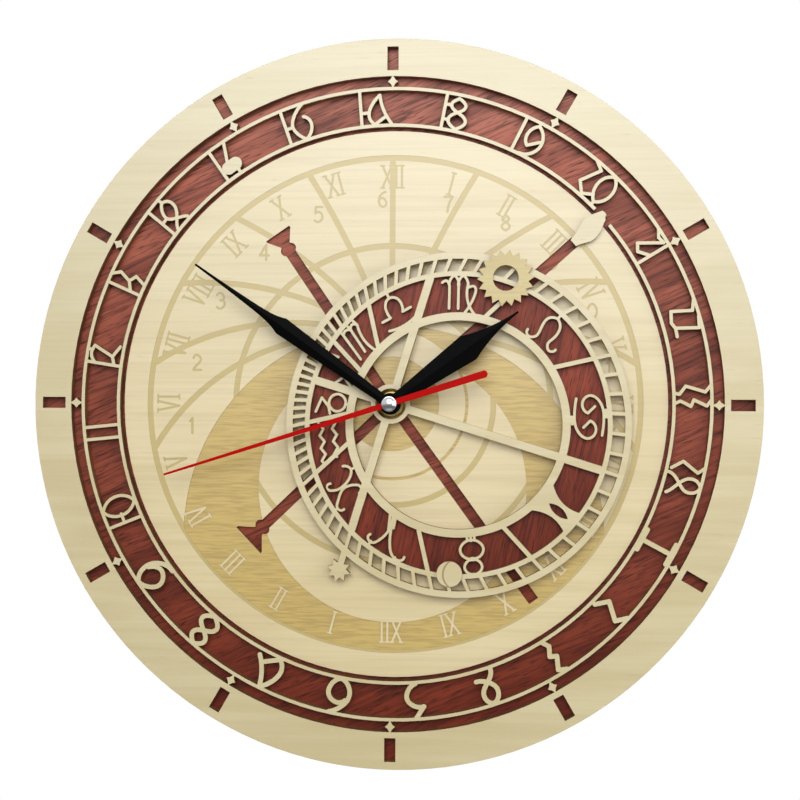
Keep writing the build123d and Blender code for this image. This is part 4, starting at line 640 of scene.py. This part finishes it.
def surface_object(
    name: str, points: np.ndarray, quads: np.ndarray, caps: list[np.ndarray]
) -> bpy.types.Object:
    """Put a numpy surface into a new smooth object at the origin.

    Args:
        name: Name of the object and its mesh.
        points: Vertices as an (n, 3) array, in metres.
        quads: Faces as an (m, 4) array of vertex numbers.
        caps: Loops of vertex numbers that close the ends.

    Returns:
        The linked object.
    """
    mesh = bpy.data.meshes.new(name)
    faces = quads.tolist() + [loop.tolist() for loop in caps]
    mesh.from_pydata(points.tolist(), [], faces)
    mesh.polygons.foreach_set("use_smooth", np.ones(len(faces), dtype=bool))
    mesh.update()
    made = bpy.data.objects.new(name, mesh)
    bpy.context.scene.collection.objects.link(made)
    return made


@dataclass
class DressedGroup:
    """CAD nodes that share one finish each."""

    shelf: MaterialShelf
    finishes: dict[str, Finish]

    def dress(self) -> None:
        """Put each node's finish into its material slots."""
        for node, finish in self.finishes.items():
            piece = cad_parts[node]
            if not piece.material_slots:
                piece.data.materials.append(None)
            for slot in piece.material_slots:
                slot.material = self.shelf.get(finish)
            LOG.info("%s wears %s", node, finish.name)


@dataclass
class WoodenFace(DressedGroup):
    """The board, the fretted hour ring, the engraved dial and the zodiac ring with its figures."""

    finishes: dict[str, Finish] = field(
        default_factory=lambda: {
            "base_board": MAHOGANY,
            "hour_ring": PALE_PLY,
            "dial_disc": DIAL_PLY,
            "zodiac_backing": MAHOGANY_UPRIGHT,
            "zodiac_fret": PALE_PLY,
            "sun_disc": SUN_PLY,
            "moon_disc": MOON_PLY,
            "pointing_hand": PALE_PLY,
        }
    )


@dataclass
class HandSet(DressedGroup):
    """The three hands and the polished cap on the arbor."""

    finishes: dict[str, Finish] = field(
        default_factory=lambda: {
            "hour_hand": BLACK_ENAMEL,
            "minute_hand": BLACK_ENAMEL,
            "second_hand": RED_ENAMEL,
        }
    )
    edge_radius: float = 0.35 * MM
    pole_radius: float = 0.02 * MM
    crown_share: float = 0.42
    sides: int = 72
    crown_steps: int = 24
    bend_steps: int = 8

    def cap(self) -> bpy.types.Object:
        """Make the domed cap in place of its solid.

        The profile is a crown that falls with the square of the radius, drop * (r / r_shoulder)^2,
        then a rounded shoulder and a straight skirt.

        Returns:
            The cap, riding with the second hand.
        """
        low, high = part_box("centre_cap")
        radius = (high.x - low.x) / 2
        back, front = high.y, low.y
        shoulder = radius - self.edge_radius
        crown_r = np.linspace(self.pole_radius, shoulder, self.crown_steps)
        crown_y = front + self.crown_share * (back - front) * (crown_r / shoulder) ** 2
        bend = np.linspace(np.pi / 2, 0, self.bend_steps + 1)[1:]
        bend_r = shoulder + self.edge_radius * np.cos(bend)
        bend_y = crown_y[-1] + self.edge_radius * (1 - np.sin(bend))
        radii = np.concatenate([crown_r, bend_r, [radius]])
        depths = np.concatenate([crown_y, bend_y, [back]])
        points, quads = revolve(radii, depths, np.array([0.0, 1.0, 0.0]), self.sides, False)
        last = len(points) - self.sides
        caps = [np.arange(self.sides)[::-1], np.arange(last, last + self.sides)]
        made = surface_object("centre_cap_dome", points, quads, caps)
        made.data.materials.append(self.shelf.get(CHROME))
        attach(made, Body.SECOND.value)
        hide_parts("centre_cap")
        LOG.info("centre cap of %.1f mm", 2 * radius / MM)
        return made


@dataclass
class Movement(DressedGroup):
    """The quartz movement behind the board, its wheels, motor and circuit."""

    finishes: dict[str, Finish] = field(
        default_factory=lambda: {
            "movement_case": BLACK_ABS,
            "hanging_tab": BLACK_ABS,
            "movement_cover": BLACK_ABS,
            "threaded_bushing": BRASS,
            "rubber_gasket": RUBBER,
            "clamp_nut": BRASS,
            "hour_wheel": ACETAL,
            "minute_pipe": BRASS,
            "motion_wheel": ACETAL,
            "setting_knob": GREY_ABS,
            "centre_wheel": ACETAL,
            "third_wheel": ACETAL,
            "seconds_wheel": ACETAL,
            "intermediate_wheel": ACETAL,
            "rotor_pinion": ACETAL,
            "rotor_magnet": FERRITE,
            "stator": STEEL,
            "coil_core": STEEL,
            "coil_bobbin": ACETAL,
            "coil_winding": COPPER,
            "circuit_board": SOLDER_MASK,
            "quartz_crystal": NICKEL,
            "control_chip": BLACK_ABS,
            "contact_positive": STEEL,
            "contact_negative": STEEL,
        }
    )


@dataclass
class Cell:
    """The round cell: a film-wrapped can with plated ends.

    The film's radii are shares of the cell's radius, and the can's are shares of its own.
    """

    shelf: MaterialShelf
    lip: float = 0.25 * MM
    roll: float = 0.12 * MM
    straight: float = 0.5 * MM
    recess: float = 0.3 * MM
    nub_length: float = 1.0 * MM
    nub_radius: float = 2.75 * MM
    nub_base_radius: float = 5.6 * MM
    pole_radius: float = 0.02 * MM
    film_lip: float = 0.86
    film_end: float = 0.93
    film_corner: float = 0.985
    dish_floor: float = 0.70
    dish_rim: float = 0.72
    can_wall: float = 0.84
    sides: int = 64

    def piece(
        self, name: str, profile: np.ndarray, centre: np.ndarray, finish: Finish, closed: bool
    ) -> bpy.types.Object:
        """Turn one profile about the cell's axis.

        Args:
            name: Name of the new object.
            profile: Rows of radius and place along the axis, in metres.
            centre: A point on the cell's axis.
            finish: What the surface wears.
            closed: Whether the profile is a loop; otherwise its two ends are capped.

        Returns:
            The object, riding with the cell.
        """
        axis = np.array([1.0, 0.0, 0.0])
        points, quads = revolve(profile[:, 0], profile[:, 1], axis, self.sides, closed)
        last = len(points) - self.sides
        caps = [np.arange(self.sides)[::-1], np.arange(last, last + self.sides)]
        made = surface_object(name, points + centre, quads, [] if closed else caps)
        made.data.materials.append(self.shelf.get(finish))
        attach(made, Body.CELL.value)
        LOG.info("%s of %.1f mm", name, np.ptp(profile[:, 1]) / MM)
        return made

    def build(self) -> list[bpy.types.Object]:
        """Make the film jacket and the plated can in place of the plain solid.

        Both are profiles turned about the cell's own axis; the film's ends roll inwards over the
        can.

        Returns:
            The jacket and the can.
        """
        low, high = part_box("battery")
        radius = (high.z - low.z) / 2
        centre = np.array([0.0, (low.y + high.y) / 2, (low.z + high.z) / 2])
        foot, tip = low.x, high.x
        shoulder = tip - self.nub_length
        film = np.array(
            [
                (self.film_lip * radius, foot + self.roll),
                (self.film_end * radius, foot),
                (self.film_corner * radius, foot + self.roll),
                (radius, foot + self.straight),
                (radius, shoulder - self.straight),
                (self.film_corner * radius, shoulder - self.roll),
                (self.film_end * radius, shoulder),
                (self.film_lip * radius, shoulder - self.roll),
            ]
        )
        inner = radius - self.lip
        can = np.array(
            [
                (self.pole_radius, foot + self.recess),
                (self.dish_floor * inner, foot + self.recess),
                (self.dish_rim * inner, foot + self.roll),
                (self.can_wall * inner, foot + self.roll),
                (self.can_wall * inner, shoulder - self.recess),
                (self.nub_base_radius, shoulder - self.recess),
                (self.nub_radius, shoulder - self.roll),
                (self.nub_radius, tip - self.lip),
                (self.nub_radius - self.lip, tip),
                (self.pole_radius, tip),
            ]
        )
        made = [
            self.piece("cell_jacket", film, centre, SHRINK_FILM, True),
            self.piece("cell_can", can, centre, NICKEL, False),
        ]
        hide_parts("battery")
        return made


@dataclass(frozen=True)
class SoftBox:
    """A rectangular lamp: its light in watts, and its width, height and place in metres."""

    name: str
    power: float
    size: tuple[float, float]
    place: tuple[float, float, float]


@dataclass
class Studio:
    """Floor, world, lamps and camera."""

    azimuth: float = 4.98
    elevation: float = -0.2
    roll: float = 0.27
    distance: float = 567.6 * MM
    target: tuple[float, float, float] = (3.54 * MM, -25.5 * MM, 1.61 * MM)
    focal_length: float = 62.30
    sensor: float = 36.0
    floor_level: float = -0.40
    floor_radius: float = 0.60
    floor_sides: int = 96
    floor_lift: float = 0.45
    floor_firm_share: float = 0.4
    world_light: float = 0.29
    low_mirror: float = 0.25
    mirror_span: tuple[float, float] = (-0.35, 0.15)
    soft_boxes: tuple[SoftBox, ...] = (
        SoftBox("key_soft_box", 7.6, (0.80, 0.60), (0.0, -1.0, 0.42)),
        SoftBox("fill_soft_box", 3.6, (0.9, 0.9), (0.85, -0.75, 0.1)),
        SoftBox("back_soft_box", 6.0, (0.9, 0.9), (-0.45, 0.9, 0.45)),
    )

    def world(self) -> None:
        """A white surround that lights the clock evenly and shines less in low mirror rays."""
        made = bpy.data.worlds.new("white_studio")
        bpy.context.scene.world = made
        made.use_nodes = True
        tree = made.node_tree
        tree.nodes.clear()
        path = add_node(tree, "LightPath").outputs
        upward = add_node(
            tree, "SeparateXYZ", {0: add_node(tree, "TexCoord").outputs["Generated"]}
        )
        low, high = self.mirror_span
        mirror = add_node(
            tree,
            "MapRange",
            {
                "Value": upward.outputs["Z"],
                "From Min": low,
                "From Max": high,
                "To Min": self.low_mirror,
            },
            interpolation_type="SMOOTHSTEP",
        )
        lit = add_node(
            tree,
            "Mix",
            {0: path["Is Glossy Ray"], 2: self.world_light, 3: mirror.outputs["Result"]},
        )
        seen = add_node(
            tree,
            "Math",
            {0: path["Is Camera Ray"], 1: path["Is Transmission Ray"]},
            operation="MAXIMUM",
        )
        strength = add_node(tree, "Mix", {0: seen.outputs[0], 2: lit.outputs[0], 3: 1.0})
        surround = add_node(
            tree, "Background", {"Color": linear("#FFFFFF"), "Strength": strength.outputs[0]}
        )
        add_node(tree, "OutputWorld", {"Surface": surround.outputs[0]})

    def floor(self) -> bpy.types.Object:
        """A round pale floor under the clock that fades into the surround and keeps the shadow.

        Returns:
            The floor disc.
        """
        turn = np.linspace(0, 2 * np.pi, self.floor_sides, endpoint=False)
        points = np.stack(
            [
                self.floor_radius * np.cos(turn),
                self.floor_radius * np.sin(turn),
                np.full(self.floor_sides, self.floor_level),
            ],
            1,
        )
        no_quads = np.empty((0, 4), dtype=int)
        made = surface_object("studio_floor", points, no_quads, [np.arange(self.floor_sides)])
        paint = bpy.data.materials.new("pale_floor_paint")
        paint.use_nodes = True
        tree = paint.node_tree
        tree.nodes.clear()
        matt = add_node(tree, "BsdfDiffuse", {"Color": linear("#E6E6E4")})
        seen = add_node(tree, "LightPath").outputs["Is Camera Ray"]
        lift = add_node(tree, "Math", {0: seen, 1: self.floor_lift}, operation="MULTIPLY")
        glow = add_node(
            tree, "Emission", {"Color": linear("#FFFFFF"), "Strength": lift.outputs[0]}
        )
        lit = add_node(tree, "AddShader", {0: matt.outputs[0], 1: glow.outputs[0]})
        level = add_node(
            tree,
            "VectorMath",
            {0: add_node(tree, "TexCoord").outputs["Object"], 1: (1.0, 1.0, 0.0)},
            operation="MULTIPLY",
        )
        reach = add_node(tree, "VectorMath", {0: level.outputs[0]}, operation="LENGTH")
        fade = add_node(
            tree,
            "MapRange",
            {
                "Value": reach.outputs["Value"],
                "From Min": self.floor_firm_share * self.floor_radius,
                "From Max": self.floor_radius,
            },
            interpolation_type="SMOOTHSTEP",
        )
        clear = add_node(tree, "BsdfTransparent")
        both = add_node(
            tree, "MixShader", {0: fade.outputs["Result"], 1: lit.outputs[0], 2: clear.outputs[0]}
        )
        add_node(tree, "OutputMaterial", {"Surface": both.outputs[0]})
        made.data.materials.append(paint)
        return made

    def lamp(self, box: SoftBox) -> bpy.types.Object:
        """A soft box that faces the middle of the dial.

        Args:
            box: The lamp's name, light, size and place.

        Returns:
            The linked lamp.
        """
        light = bpy.data.lights.new(box.name, "AREA")
        light.shape = "RECTANGLE"
        light.energy = box.power
        light.size, light.size_y = box.size
        made = bpy.data.objects.new(box.name, light)
        made.location = box.place
        aim = Vector(self.target) - Vector(box.place)
        made.rotation_euler = aim.to_track_quat("-Z", "Y").to_euler()
        bpy.context.scene.collection.objects.link(made)
        return made

    def camera(self) -> bpy.types.Object:
        """The camera where the photograph was taken, slightly right of the dial's middle.

        Returns:
            The scene's camera.
        """
        lens = bpy.data.cameras.new("photo_camera")
        lens.lens = self.focal_length
        lens.sensor_width = self.sensor
        made = bpy.data.objects.new("photo_camera", lens)
        turn, lift = math.radians(self.azimuth), math.radians(self.elevation)
        back = Vector(
            (math.cos(lift) * math.sin(turn), -math.cos(lift) * math.cos(turn), math.sin(lift))
        )
        made.location = Vector(self.target) + self.distance * back
        level = (-back).to_track_quat("-Z", "Y").to_matrix()
        made.rotation_euler = (level @ Matrix.Rotation(math.radians(self.roll), 3, "Z")).to_euler()
        bpy.context.scene.collection.objects.link(made)
        bpy.context.scene.camera = made
        return made

    def build(self) -> None:
        """Set up the whole studio."""
        bpy.context.scene.view_settings.view_transform = "Standard"
        self.world()
        self.floor()
        for box in self.soft_boxes:
            self.lamp(box)
        self.camera()
        LOG.info("studio with %d soft boxes and a white surround", len(self.soft_boxes))


def main() -> None:
    """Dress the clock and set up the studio."""
    logging.basicConfig(level=logging.INFO, format="%(name)s: %(message)s")
    shelf = MaterialShelf()
    WoodenFace(shelf).dress()
    hands = HandSet(shelf)
    hands.dress()
    hands.cap()
    Movement(shelf).dress()
    Cell(shelf).build()
    Studio().build()


if __name__ == "__main__":
    main()
